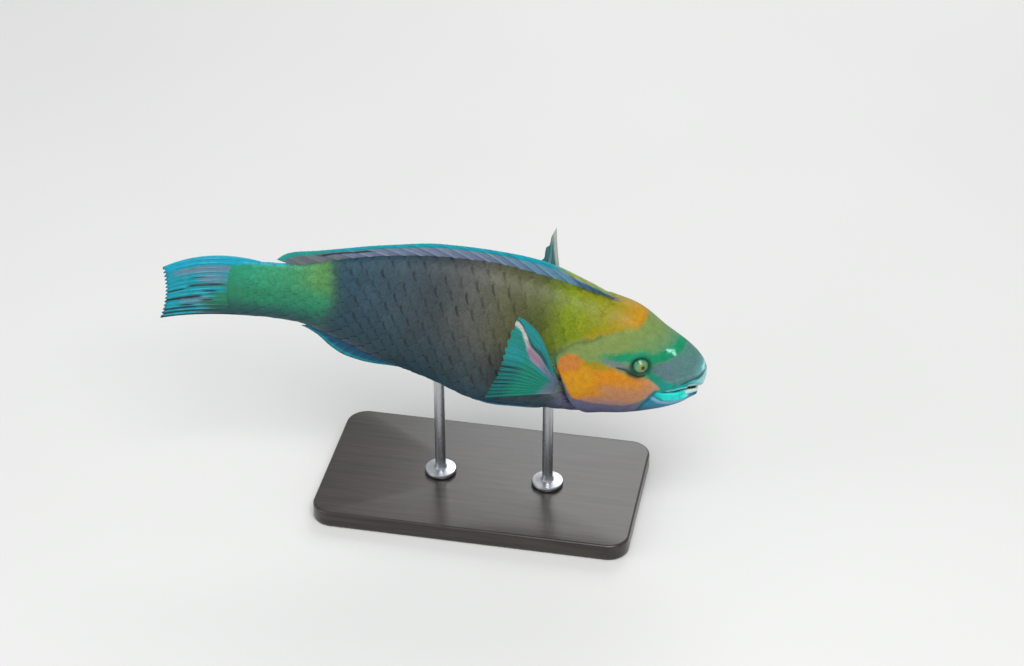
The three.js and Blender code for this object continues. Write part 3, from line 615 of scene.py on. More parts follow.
def markings(brush, s, z):
    """Colours of the skin and of the scales at s and z, alike on both sides."""
    loose, close = wander(s, z, 0.8), wander(s, z, 0.4)
    colour = body_markings(brush, *loose)
    colour = crown_markings(brush, colour, *loose)
    colour = snout_markings(brush, colour, *close)
    colour = jaw_markings(brush, colour, s, z)
    colour = cheek_markings(brush, colour, *close)
    return fine_markings(brush, colour, s, z)


def add_mesh(name, points, faces, material, corners=None, colours=None, sharp=35):
    """A mesh object at the origin. corners are UV maps by name, one pair a vertex, and colours one colour a
    vertex."""
    mesh = bpy.data.meshes.new(name)
    mesh.from_pydata(np.asarray(points).reshape(-1, 3), [], [list(face) for face in faces])
    mesh.validate()
    loop_vertex = np.empty(len(mesh.loops), int)
    mesh.loops.foreach_get("vertex_index", loop_vertex)
    for title, uv in (corners or {}).items():
        layer = mesh.uv_layers.new(name=title)
        layer.uv.foreach_set("vector", np.asarray(uv, float)[loop_vertex].ravel())
    if colours is not None:
        paint = mesh.color_attributes.new("paint", "FLOAT_COLOR", "POINT")
        full = np.ones((len(mesh.vertices), 4))
        full[:, :3] = np.asarray(colours).reshape(-1, 3)
        paint.data.foreach_set("color", full.ravel())
    mesh.shade_smooth()
    mesh.set_sharp_from_angle(angle=radians(sharp))
    mesh.materials.append(material)
    piece = bpy.data.objects.new(name, mesh)
    bpy.context.collection.objects.link(piece)
    return piece


def grid_faces(columns, rows, closed=False, start=0):
    """Quads of a grid of columns by rows of points, joined round from the last row to the first if closed."""
    c, r = np.meshgrid(np.arange(columns - 1), np.arange(rows if closed else rows - 1), indexing="ij")
    c, r = c.ravel(), r.ravel()
    up = (r + 1) % rows
    return start + np.stack([c * rows + r, (c + 1) * rows + r, (c + 1) * rows + up, c * rows + up], -1)


def closed_sheet(front, back):
    """Points and faces of a closed sheet between two grids of points that have the same shape."""
    columns, rows = front.shape[:2]
    count = columns * rows
    front_faces = grid_faces(columns, rows)
    index = np.arange(count).reshape(columns, rows)
    ring = np.concatenate([index[:-1, 0], index[-1, :-1], index[:0:-1, -1], index[0, :0:-1]])
    after = np.roll(ring, -1)
    rim = np.stack([after, ring, ring + count, after + count], -1)
    points = np.concatenate([front.reshape(-1, 3), back.reshape(-1, 3)])
    return points, np.concatenate([front_faces, front_faces[:, ::-1] + count, rim])


def turned_out(points, faces):
    """The faces with their order turned if the closed mesh is inside out, by its signed volume."""
    a, b, c = (points[faces[:, k]] for k in range(3))
    d = points[faces[:, 3]]
    volume = np.einsum("ij,ij->", a, np.cross(b, c)) + np.einsum("ij,ij->", a, np.cross(c, d))
    return faces if volume > 0 else faces[:, ::-1]


def capped(rings, poles=None):
    """Points and faces of rings joined along and closed by a fan at each end, round the poles or the rings'
    middles."""
    count, sides = rings.shape[:2]
    if poles is None:
        poles = [rings[0].mean(0), rings[-1].mean(0)]
    points = np.concatenate([rings.reshape(-1, 3), poles])
    faces = grid_faces(count, sides, closed=True)
    ring = np.arange(sides)
    after = (ring + 1) % sides
    last = (count - 1) * sides
    caps = [(count * sides, a, b) for a, b in zip(ring, after)]
    caps += [(count * sides + 1, last + b, last + a) for a, b in zip(ring, after)]
    quads = turned_out(points, faces)
    if quads is not faces:
        caps = [cap[::-1] for cap in caps]
    return points, list(quads) + caps


def node(tree, kind, settings=None, **links):
    """Adds a shader node. settings are its own values, and links its inputs: a socket, or a value."""
    made = tree.nodes.new(kind)
    for key, value in (settings or {}).items():
        setattr(made, key, value)
    for key, value in links.items():
        numbered = key.startswith("in") and key[2:].isdigit()
        socket = made.inputs[int(key[2:]) if numbered else key.replace("_", " ")]
        if isinstance(value, bpy.types.NodeSocket):
            tree.links.new(value, socket)
        else:
            socket.default_value = value
    return made


def new_material(name, **values):
    """A Principled material with its plain values set on the shader's own sockets."""
    material = bpy.data.materials.new(name)
    material.use_nodes = True
    shader = material.node_tree.nodes["Principled BSDF"]
    for key, value in values.items():
        shader.inputs[key.replace("_", " ")].default_value = value
    return material, material.node_tree, shader


def painted_resin(name, grain_mm=0.6, mottle_mm=3.0, mottle=0.2, bump=0.06, roughness=0.5, coat=0.05):
    """Cast resin painted by airbrush under a satin varnish: soft edges between colours, a faint mottle of the
    sprayed pigment, and a fine tooth in the varnish that spreads the highlights."""
    material, tree, shader = new_material(
        name, Roughness=roughness, Specular_IOR_Level=0.28, Coat_Weight=coat, Coat_Roughness=0.3,
    )
    place = node(tree, "ShaderNodeTexCoord").outputs["Object"]
    paint = node(tree, "ShaderNodeAttribute", {"attribute_name": "paint"}).outputs["Color"]
    cloud = node(
        tree, "ShaderNodeTexNoise", Vector=place, Scale=1 / (mottle_mm * MM), Detail=4.0, Roughness=0.6,
    )
    dust = node(tree, "ShaderNodeTexNoise", Vector=place, Scale=1 / (grain_mm * MM), Detail=2.0)
    both = node(
        tree, "ShaderNodeMath", {"operation": "MULTIPLY_ADD"}, in0=dust.outputs["Fac"], in1=1.1,
        in2=cloud.outputs["Fac"],
    )
    value = node(
        tree, "ShaderNodeMapRange", Value=both.outputs["Value"], From_Min=0.72, From_Max=1.38,
        To_Min=0.96 - mottle,
        To_Max=0.96 + mottle,
    )
    shade = node(tree, "ShaderNodeHueSaturation", Color=paint, Saturation=1.06, Value=value.outputs["Result"])
    tree.links.new(shade.outputs["Color"], shader.inputs["Base Color"])
    fine = node(tree, "ShaderNodeBump", Height=dust.outputs["Fac"], Strength=bump, Distance=0.1 * MM)
    tree.links.new(fine.outputs["Normal"], shader.inputs["Normal"])
    return material, tree, shader, shade, fine


def skin_material():
    """The bare head: painted resin with a fine pebbling of small pores."""
    material, tree, shader, _, fine = painted_resin("Painted_resin_skin")
    place = node(tree, "ShaderNodeTexCoord").outputs["Object"]
    pores = node(tree, "ShaderNodeTexVoronoi", Vector=place, Scale=1 / (1.1 * MM))
    pitted = node(
        tree, "ShaderNodeBump", Height=pores.outputs["Distance"], Normal=fine.outputs["Normal"],
        Strength=0.12,
        Distance=0.12 * MM,
    )
    tree.links.new(pitted.outputs["Normal"], shader.inputs["Normal"])
    return material


def scale_material():
    """Painted resin scales. On the map of one scale, u runs across it and v from root to rear edge: a dark
    crescent lies inside the rear edge, mostly on its upper half, a painted highlight makes the scale lighter
    towards its rear edge, and fine rings follow the edge."""
    material, tree, shader, shade, fine = painted_resin(
        "Painted_resin_scales", grain_mm=0.8, mottle_mm=2.2, mottle=0.26,
    )
    uv = node(tree, "ShaderNodeUVMap", {"uv_map": "scale"}).outputs["UV"]
    parts = node(tree, "ShaderNodeSeparateXYZ", Vector=uv)
    across, along = parts.outputs["X"], parts.outputs["Y"]
    edge = node(
        tree, "ShaderNodeMapRange", {"interpolation_type": "SMOOTHSTEP"}, Value=along, From_Min=0.82,
        From_Max=0.89, To_Min=0.0, To_Max=1.0,
    )
    rim = node(
        tree, "ShaderNodeMapRange", {"interpolation_type": "SMOOTHSTEP"}, Value=along, From_Min=0.93,
        From_Max=0.985, To_Min=1.0, To_Max=0.0,
    )
    upper = node(
        tree, "ShaderNodeMapRange", {"interpolation_type": "SMOOTHSTEP"}, Value=across, From_Min=0.4,
        From_Max=0.6, To_Min=0.12, To_Max=1.0,
    )
    outer = node(
        tree, "ShaderNodeMapRange", {"interpolation_type": "SMOOTHSTEP"}, Value=across, From_Min=0.84,
        From_Max=0.97, To_Min=1.0, To_Max=0.0,
    )
    ends = node(
        tree, "ShaderNodeMath", {"operation": "MULTIPLY"}, in0=upper.outputs["Result"],
        in1=outer.outputs["Result"],
    )
    band = node(
        tree, "ShaderNodeMath", {"operation": "MULTIPLY"}, in0=edge.outputs["Result"],
        in1=rim.outputs["Result"],
    )
    crescent = node(
        tree, "ShaderNodeMath", {"operation": "MULTIPLY"}, in0=ends.outputs["Value"],
        in1=band.outputs["Value"],
    )
    strength = node(tree, "ShaderNodeAttribute", {"attribute_name": "crescent"}).outputs["Fac"]
    weight = node(
        tree, "ShaderNodeMath", {"operation": "MULTIPLY"}, in0=crescent.outputs["Value"], in1=strength,
    )
    dark = node(tree, "ShaderNodeHueSaturation", Color=shade.outputs["Color"], Value=0.32, Saturation=0.9)
    laid = node(
        tree, "ShaderNodeMix", {"data_type": "RGBA"}, Factor=weight.outputs["Value"],
        in6=shade.outputs["Color"],
        in7=dark.outputs["Color"],
    )
    # Painted highlight: each scale is painted lighter towards its raised rear edge.
    pale = node(tree, "ShaderNodeMapRange", Value=along, From_Min=0.4, From_Max=0.95, To_Min=0.96, To_Max=1.1)
    lit = node(tree, "ShaderNodeHueSaturation", Color=laid.outputs[2], Value=pale.outputs["Result"])
    tree.links.new(lit.outputs["Color"], shader.inputs["Base Color"])
    rings = node(
        tree, "ShaderNodeMath", {"operation": "SINE"},
        in0=node(tree, "ShaderNodeMath", {"operation": "MULTIPLY"}, in0=along, in1=110.0).outputs["Value"],
    )
    ringed = node(
        tree, "ShaderNodeBump", Height=rings.outputs["Value"], Normal=fine.outputs["Normal"], Strength=0.12,
        Distance=0.05 * MM,
    )
    tree.links.new(ringed.outputs["Normal"], shader.inputs["Normal"])
    return material


def fin_material(name="Painted_resin_fin"):
    """Thin cast resin, painted: on the fin's map u runs across the rays and v out along them. Fine streaks
    run along the rays, as the branches of a real ray do, and joints cross them."""
    material, tree, shader, shade, fine = painted_resin(name, mottle=0.16, roughness=0.42, coat=0.1)
    uv = node(tree, "ShaderNodeUVMap", {"uv_map": "fin"}).outputs["UV"]
    stretched = node(tree, "ShaderNodeMapping", Vector=uv, Scale=(1.0, 0.06, 1.0))
    streak = node(tree, "ShaderNodeTexNoise", Vector=stretched.outputs["Vector"], Scale=9.0, Detail=3.0)
    value = node(
        tree, "ShaderNodeMapRange", Value=streak.outputs["Fac"], From_Min=0.3, From_Max=0.7, To_Min=0.78,
        To_Max=1.2,
    )
    streaked = node(
        tree, "ShaderNodeHueSaturation", Color=shade.outputs["Color"], Value=value.outputs["Result"],
    )
    tree.links.new(streaked.outputs["Color"], shader.inputs["Base Color"])
    raised = node(
        tree, "ShaderNodeBump", Height=streak.outputs["Fac"], Normal=fine.outputs["Normal"], Strength=0.35,
        Distance=0.15 * MM,
    )
    tree.links.new(raised.outputs["Normal"], shader.inputs["Normal"])
    return material


def glass_eye_material():
    """A glass eye painted from behind: a deep gloss over a streaked iris."""
    material, tree, shader, _, _ = painted_resin(
        "Glass_eye", grain_mm=0.25, mottle_mm=0.8, mottle=0.25, bump=0.0, roughness=0.2, coat=0.6,
    )
    shader.inputs["Coat Roughness"].default_value = 0.03
    return material


def tooth_material():
    """Glossy painted resin tooth plate: close vertical lines where the small teeth are fused."""
    material, tree, shader, shade, fine = painted_resin(
        "Gloss_painted_tooth_plate", mottle_mm=1.5, mottle=0.1, roughness=0.22, coat=0.5,
    )
    uv = node(tree, "ShaderNodeUVMap", {"uv_map": "plate"}).outputs["UV"]
    waves = node(
        tree, "ShaderNodeTexWave", {"bands_direction": "X"}, Vector=uv, Scale=1.0, Distortion=1.2, Detail=2.0,
    )
    raised = node(
        tree, "ShaderNodeBump", Height=waves.outputs["Fac"], Normal=fine.outputs["Normal"], Strength=0.3,
        Distance=0.1 * MM,
    )
    tree.links.new(raised.outputs["Normal"], shader.inputs["Normal"])
    return material


def stained_wood():
    """Black-stained hardwood, planed and satin varnished: long dark grain that shows as a faint change of
    brown."""
    material, tree, shader = new_material(
        "Black_stained_hardwood", Roughness=0.34, Coat_Weight=0.25, Coat_Roughness=0.2,
    )
    place = node(tree, "ShaderNodeTexCoord").outputs["Object"]
    # Grain lines 1 to 2 mm apart, drawn out 20 times along the board
    drawn = node(tree, "ShaderNodeMapping", Vector=place, Scale=(0.05, 1.0, 1.0))
    grain = node(
        tree, "ShaderNodeTexNoise", Vector=drawn.outputs["Vector"], Scale=1 / (2.2 * MM), Detail=6.0,
        Roughness=0.65,
    )
    tone = node(tree, "ShaderNodeValToRGB", in0=grain.outputs["Fac"])
    tone.color_ramp.elements[0].position, tone.color_ramp.elements[1].position = 0.35, 0.7
    tone.color_ramp.elements[0].color = (*linear("#171310"), 1)
    tone.color_ramp.elements[1].color = (*linear("#332a24"), 1)
    tree.links.new(tone.outputs["Color"], shader.inputs["Base Color"])
    pores = node(tree, "ShaderNodeBump", Height=grain.outputs["Fac"], Strength=0.25, Distance=0.15 * MM)
    tree.links.new(pores.outputs["Normal"], shader.inputs["Normal"])
    return material


def brushed_steel():
    """Steel rod turned and brushed round: fine rings that stretch the highlight along the rod."""
    material, tree, shader = new_material("Brushed_steel", Metallic=1.0, Roughness=0.3)
    shader.inputs["Base Color"].default_value = (*linear("#b9bcc0"), 1)
    place = node(tree, "ShaderNodeTexCoord").outputs["Object"]
    # Brush lines are about 0.1 mm apart in life and are drawn at 0.4 mm, so that they show
    rings = node(tree, "ShaderNodeMapping", Vector=place, Scale=(0.1, 0.1, 1.0))
    lines = node(tree, "ShaderNodeTexNoise", Vector=rings.outputs["Vector"], Scale=1 / (0.4 * MM), Detail=2.0)
    rough = node(
        tree, "ShaderNodeMapRange", Value=lines.outputs["Fac"], From_Min=0.3, From_Max=0.7, To_Min=0.27,
        To_Max=0.35,
    )
    tree.links.new(rough.outputs["Result"], shader.inputs["Roughness"])
    cut = node(tree, "ShaderNodeBump", Height=lines.outputs["Fac"], Strength=0.04, Distance=0.05 * MM)
    tree.links.new(cut.outputs["Normal"], shader.inputs["Normal"])
    return material


def pale_floor():
    """Matt painted board: pale and almost even."""
    material, tree, shader = new_material("Pale_matt_board", Roughness=0.85)
    place = node(tree, "ShaderNodeTexCoord").outputs["Object"]
    cloud = node(tree, "ShaderNodeTexNoise", Vector=place, Scale=3.0, Detail=2.0)
    tone = node(tree, "ShaderNodeValToRGB", in0=cloud.outputs["Fac"])
    tone.color_ramp.elements[0].color = (*linear("#d3d3d1"), 1)
    tone.color_ramp.elements[1].color = (*linear("#dadad8"), 1)
    tree.links.new(tone.outputs["Color"], shader.inputs["Base Color"])
    return material


# Three places along the grid, as parts of its columns and as s
SKIN_STATIONS = [(0, 0.02), (0.62, 92), (1, PEDUNCLE_END - 1)]
SKIN_COLUMNS, SKIN_SIDES = 276, 340
COAT_START = 46


def skin_relief(s, z, lift):
    """Height of the skin over the plain body in millimetres: swellings, lip and nostril rims, less the mouth,
    tooth plates, nostrils, gill slit, crease, eye socket and coat of scales."""
    over, under = z - mouth_upper(s), mouth_lower(s) - z
    plates = 0
    for past, height, back in (
        (over, BEAK["upper"], BEAK["upper_back"]), (under, BEAK["lower"], BEAK["lower_back"]),
    ):
        shown = smooth(-SOFT_EDGE, SOFT_EDGE, past)
        shown = shown * (1 - smooth(height - SOFT_EDGE, height + SOFT_EDGE, past))
        plates = plates + shown * (1 - smooth(back - SOFT_EDGE, back + 2 * SOFT_EDGE, s))
    recess = 1.3 * plates * (1 - open_mouth(s, z))
    mouth = mix(2.6, 0.9, smooth(4, 22, s)) * open_mouth(s, z)
    pits, rims = 0, 0
    for hole_s, hole_z, radius in NOSTRILS:
        far = np.hypot(s - hole_s, z - hole_z)
        pits = pits + 1.3 * radius * np.exp(-(far / (0.75 * radius)) ** 3)
        rims = rims + 0.35 * np.exp(-((far - 1.35 * radius) / 0.4) ** 2)
    slit = 1.8 * np.exp(-((s - gill_edge(z) - 0.6) / 0.8) ** 2) * (1 - smooth(2, 12, z)) * smooth(-46, -38, z)
    crease = 0.3 * stroke(s, z, [(24.6, -9.5), (27, -12.5), (31, -19), (34, -26)], 0.7)
    from_eye = np.hypot(s - EYE["s"], z - EYE["z"])
    socket = 1.6 * (1 - smooth(3.6, 5.2, from_eye))
    lip = 0.7 * smooth(-0.6, 0.6, z - line(s, LIP_LOW)) * smooth(-0.2, 1, under)
    lip = lip * smooth(7, 11, s) * (1 - smooth(21, 26, s))
    coat = lift / MM * smooth(COAT_START, COAT_START + 12, s) * smooth(-1, 2, s - gill_edge(z))
    return swellings(s, z) + lip + rims - recess - mouth - pits - slit - crease - socket - coat


class PARROTFISH_OT_skin(Operator):
    """One painted skin over the whole body, from the snout to the root of the tail fin"""
    bl_idname = "parrotfish.skin"
    bl_label = "Skin"

    def execute(self, context):
        """Point = section(s, angle) + outward * relief(s, z), on a grid that is finer on the head."""
        scene = context.scene
        u = np.linspace(0, 1, SKIN_COLUMNS)
        ends, stops = zip(*SKIN_STATIONS)
        s = np.where(u < ends[1], stops[1] * (u / ends[1]) ** 1.25, np.interp(u, ends, stops)) + stops[0]
        angle = np.arange(SKIN_SIDES) / SKIN_SIDES * 2 * pi
        s_grid, angle_grid = np.meshgrid(s, angle, indexing="ij")
        plain = plain_point(s_grid, angle_grid)
        z = plain[..., 2]
        relief = skin_relief(s_grid, z, scene.parrotfish_scales.lift)
        points = plain + outward(s_grid, angle_grid) * relief[..., None]
        brush = Brush(scene.parrotfish_colours)
        colours = midline_markings(brush, markings(brush, s_grid, z), s_grid, plain[..., 1], z)
        shown, faces = capped(in_world(points, scene.parrotfish_pose))
        tones = np.concatenate([colours.reshape(-1, 3), colours[0, :1], colours[-1, :1]])
        skin = add_mesh("skin", shown, faces, skin_material(), colours=tones, sharp=180)
        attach(skin, "root")
        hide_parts("head", "lower_jaw", "gill_cover_left", "gill_cover_right", "torso", "tail_base")
        return {"FINISHED"}


def arc_angles(s, fraction):
    """The angle at which a fraction of the section's outline at s is passed, from the left flank over the
    top."""
    fine = np.linspace(0, 2 * pi, 361)
    y, z = plain_point(np.full(fine.shape, s), fine)[:, 1:].T
    length = np.concatenate([[0], np.cumsum(np.hypot(np.diff(y), np.diff(z)))])
    return np.interp(np.mod(fraction, 1) * length[-1], length, fine)


# Steps of a scale's grid, then its length, the depth of its round edge and its thickness
SCALE_ACROSS, SCALE_ALONG = 7, 3
SCALE_LENGTH = 15.0
SCALE_ROUND = 6.0
SCALE_THICK = 0.3
SCALES_START = COAT_START + 6
SCALES_TAIL_START = 211
SCALES_END = PEDUNCLE_END - 3


class PARROTFISH_OT_scales(Operator):
    """Scales in slanting rows over the body and the root of the tail: closed plates that overlap"""
    bl_idname = "parrotfish.scales"
    bl_label = "Scales"

    def execute(self, context):
        """A scale runs from its root at b = 0 to a rear edge that is half an oval, s = tip - round (1 -
        sqrt(1 - a^2)), and rises from the skin to its lift at b = 1. Columns follow at half a pitch, each
        shifted by a row."""
        scene = context.scene
        size = scene.parrotfish_scales
        pitch, lift, rows = size.pitch / MM, size.lift / MM, size.rows
        tips, middles, cells = [], [], []
        columns = int((SCALES_END - SCALES_START) / (pitch / 2))
        for k in range(columns):
            row = np.arange(k % 2, rows, 2)
            tips.append(np.full(len(row), SCALES_START + k * pitch / 2))
            middles.append((row + 0.5) / rows)
            cells.append(np.stack([np.full(len(row), k / 2), row], -1))
        tip, place, cell = (np.concatenate(part) for part in (tips, middles, cells))
        middle_angle = np.array([arc_angles(s, f) for s, f in zip(tip, place)])
        height = plain_point(tip, middle_angle)[:, 2]
        kept = tip > gill_edge(height) + 4
        tip, place, cell, height = (part[kept] for part in (tip, place, cell, height))
        reach = 0.96 / rows
        low_angle = np.array([arc_angles(s, f - reach) for s, f in zip(tip, place)])
        high_angle = np.array([arc_angles(s, f + reach) for s, f in zip(tip, place)])
        middle_angle = middle_angle[kept]
        below = np.mod(middle_angle - low_angle, 2 * pi)[:, None, None]
        above = np.mod(high_angle - middle_angle, 2 * pi)[:, None, None]

        a = np.sin(np.linspace(-pi / 2, pi / 2, SCALE_ACROSS + 1)) * 0.995
        b = np.linspace(0, 1, SCALE_ALONG + 1) ** 0.8
        n = len(tip)
        grid = (n, SCALE_ACROSS + 1, SCALE_ALONG + 1)
        A, B = (np.broadcast_to(part, grid) for part in np.meshgrid(a, b, indexing="ij"))
        angle = middle_angle[:, None, None] + np.where(A > 0, above, below) * A
        root = np.maximum(tip - SCALE_LENGTH, gill_edge(height) + 0.6)[:, None, None]
        rear = tip[:, None, None] - SCALE_ROUND * (1 - np.sqrt(1 - A ** 2))
        s = mix(np.minimum(root, rear - 0.5), rear, B)
        shy = smooth(0.0, 0.3, np.abs(np.cos(angle)))
        tip_lift = lift * mix(0.35, 1, shy) * mix(1, 0.45, smooth(200, 216, tip))[:, None, None]
        out = -lift + mix(-0.12, tip_lift, B ** 1.2) + 0.1 * (1 - A ** 2) * B * shy
        out = np.minimum(out, 0.12)
        normal = outward(s, angle)
        plain = plain_point(s, angle)
        front = plain + normal * out[..., None]
        back = plain + normal * (out - SCALE_THICK * mix(0.5, 1, B))[..., None]
        brush = Brush(scene.parrotfish_colours)
        skin = midline_markings(brush, markings(brush, s, plain[..., 2]), s, plain[..., 1], plain[..., 2])
        chance = np.random.default_rng(7)
        strength = smooth(92, 118, tip) * (1 - smooth(196, 214, tip)) * smooth(-34, -16, height)
        strength = 0.1 + strength * chance.uniform(0.3, 0.95, n)
        vary = chance.uniform(0.9, 1.1, n)

        sheet_faces = closed_sheet(front[0], back[0])[1]
        per = 2 * (SCALE_ACROSS + 1) * (SCALE_ALONG + 1)
        points = np.concatenate([front.reshape(n, -1, 3), back.reshape(n, -1, 3)], 1).reshape(-1, 3)
        faces = (sheet_faces[None] + (np.arange(n) * per)[:, None, None]).reshape(-1, 4)
        tones = np.concatenate([skin.reshape(n, -1, 3)] * 2, 1) * vary[:, None, None]
        local = np.stack([(A + 1) / 2, B], -1).reshape(n, -1, 2)
        scale_uv = np.concatenate([local, local], 1).reshape(-1, 2)
        # A patch of its own for each scale at its root's place on the unrolled skin, with the underside
        # beside it
        step = np.array([1 / (columns / 2 + 1), 1 / rows])
        home = (cell + 0.1) * step
        top_patch = home[:, None] + local * step * np.array([0.6, 0.8])
        low_patch = home[:, None] + (local * np.array([0.15, 0.8]) + np.array([0.7, 0])) * step
        bake_uv = np.concatenate([top_patch, low_patch], 1).reshape(-1, 2)
        shown = in_world(points, scene.parrotfish_pose)
        if turned_out(shown[:per], sheet_faces) is not sheet_faces:
            faces = faces[:, ::-1]
        material = scale_material()
        parts = (
            ("scales_body", tip < SCALES_TAIL_START, "skin_body"),
            ("scales_tail", tip >= SCALES_TAIL_START, "skin_tail"),
        )
        for name, chosen, slot in parts:
            pick_vertex = np.repeat(chosen, per)
            pick_face = np.repeat(chosen, len(sheet_faces))
            new_index = np.cumsum(pick_vertex) - 1
            maps = {"OFBake": bake_uv[pick_vertex], "scale": scale_uv[pick_vertex]}
            piece = add_mesh(
                name, shown[pick_vertex], new_index[faces[pick_face]], material, maps,
                tones.reshape(-1, 3)[pick_vertex], sharp=50,
            )
            mark = piece.data.attributes.new("crescent", "FLOAT", "POINT")
            mark.data.foreach_set("value", np.repeat(strength, per)[pick_vertex].astype(np.float32))
            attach(piece, "root")
        return {"FINISHED"}


class PARROTFISH_OT_eyes(Operator):
    """Glass eyes with a streaked iris, set in the head"""
    bl_idname = "parrotfish.eyes"
    bl_label = "Eyes"

    def execute(self, context):
        """A ball turned about the gaze, whose radius swells over the iris as the cornea does, by
        cornea * exp(-(angle / 0.5)^4). The pupil, iris and rim are rings by the angle from the gaze."""
        scene = context.scene
        pose = scene.parrotfish_pose
        brush = Brush(scene.parrotfish_colours)
        rings, sides = 60, 64
        turn = np.linspace(0, pi, rings)[1:-1]
        around = np.arange(sides) / sides * 2 * pi
        turn_grid, around_grid = np.meshgrid(turn, around, indexing="ij")
        material = glass_eye_material()
        for name, side in (("eye_glass_left", 1), ("eye_glass_right", -1)):
            s = np.array(EYE["s"])
            angle = angle_on(s, EYE["z"], side)
            out = outward(s, angle)
            centre = plain_point(s, angle) - out * EYE["sunk"]
            gaze = Vector(out) + Vector(EYE["gaze"])
            gaze.normalize()
            beside = gaze.cross(Vector((0, 0, 1))).normalized()
            above = beside.cross(gaze)
            axes = np.array([gaze, beside, above])
            swell = EYE["radius"] + EYE["cornea"] * np.exp(-(turn_grid / 0.5) ** 4)
            aside = np.sin(turn_grid)
            ball = np.stack([np.cos(turn_grid), aside * np.cos(around_grid), aside * np.sin(around_grid)], -1)
            points = centre + (ball * swell[..., None]) @ axes
            poles = centre + np.array([axes[0] * (EYE["radius"] + EYE["cornea"]), -axes[0] * EYE["radius"]])
            degrees = np.degrees(turn_grid)
            streaks = 0.5 + 0.5 * np.sin(around_grid * 23 + 2 * np.sin(around_grid * 5))
            tone = brush.ramp(degrees, *EYE_RINGS)
            tone = tone * (0.8 + 0.4 * streaks * smooth(12, 20, degrees))[..., None]
            shown, faces = capped(in_world(points, pose), in_world(poles, pose))
            tones = np.concatenate([tone.reshape(-1, 3), [brush.tone("pupil"), brush.tone("eye_shade")]])
            eye = add_mesh(name, shown, faces, material, colours=tones, sharp=180)
            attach(eye, "root")
            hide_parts("eye_left" if side > 0 else "eye_right")
        return {"FINISHED"}


class PARROTFISH_OT_beak(Operator):
    """The two tooth plates of the beak, each wrapped round the front of its jaw"""
    bl_idname = "parrotfish.beak"
    bl_label = "Beak"

    def execute(self, context):
        """A plate's place is f, from one side (-1) round the front (0) to the other (1), and v from the
        cutting edge to the gum: s = front + (back - front) f^2 and z = edge(s) + v * height on the body less
        an inset. Near the front y is drawn in by sqrt(|f| / 0.3) and s bulges, which closes the plate round
        the snout."""
        scene = context.scene
        brush = Brush(scene.parrotfish_colours)
        f, v = np.meshgrid(np.linspace(-1, 1, 81), np.linspace(0, 1, 15), indexing="ij")
        side = np.where(f < 0, 1, -1)
        near = np.clip(np.abs(f) / 0.3, 0, 1)
        material = tooth_material()
        plates = (
            ("tooth_plate_upper", "beak_upper", mouth_upper, 1.5, BEAK["upper_back"], BEAK["upper"], 0.2),
            (
                "tooth_plate_lower", "beak_lower", mouth_lower, JAW_FRONT, BEAK["lower_back"],
                -BEAK["lower"], 0.5,
            ),
        )
        for name, replaced, edge, first, back, height, bulge in plates:
            s = first + (back - first) * f ** 2
            z = np.maximum(edge(s) + v * height, section(s)[1] + 0.15)
            angle = angle_on(s, z, side)
            normal = outward(s, angle)
            scallop = 0.1 * np.cos(f * 30) * (1 - v) ** 2
            suture = 0.3 * np.exp(-(f / 0.02) ** 2)
            rounded = 0.45 * (1 - smooth(0, 0.2, v))
            outside = -BEAK["inset"] - suture - rounded + scallop
            front = plain_point(s, angle) + normal * outside[..., None]
            front = front * np.stack([np.ones(f.shape), np.sqrt(near), np.ones(f.shape)], -1)
            front[..., 0] += bulge * (1 - near ** 2)
            back_face = front * (1, 0.72, 1) - (BEAK["depth"], 0, 0)
            points, faces = closed_sheet(front, back_face)
            shown = in_world(points, scene.parrotfish_pose)
            tone = brush.ramp(v, (0, "tooth"), (0.7, "tooth"), (1, "tooth_edge"))
            if height > 0:
                tone = brush.lay(tone, "lip_pale", 0.6)
            uv = np.stack([f * 3, v], -1).reshape(-1, 2)
            plate = add_mesh(
                name, shown, turned_out(shown, faces), material, {"plate": np.concatenate([uv, uv])},
                np.concatenate([tone.reshape(-1, 3)] * 2), sharp=60,
            )
            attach(plate, "root")
            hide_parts(replaced)
        return {"FINISHED"}


def ray_ridges(a, rays, b, fork):
    """1 on each ray and 0 between, as a power of a cosine. Past the fork each ray parts into two branches."""
    phase = a * rays - np.floor(a * rays) - 0.5
    spread = 0.2 * smooth(fork, 1.05, b)
    single = np.cos(np.clip(phase * 2.4, -0.5, 0.5) * pi) ** 1.5
    pair = np.cos(np.clip((np.abs(phase) - spread) * 3.6, -0.5, 0.5) * pi) ** 1.5
    return mix(single, pair, smooth(fork - 0.05, fork + 0.1, b))


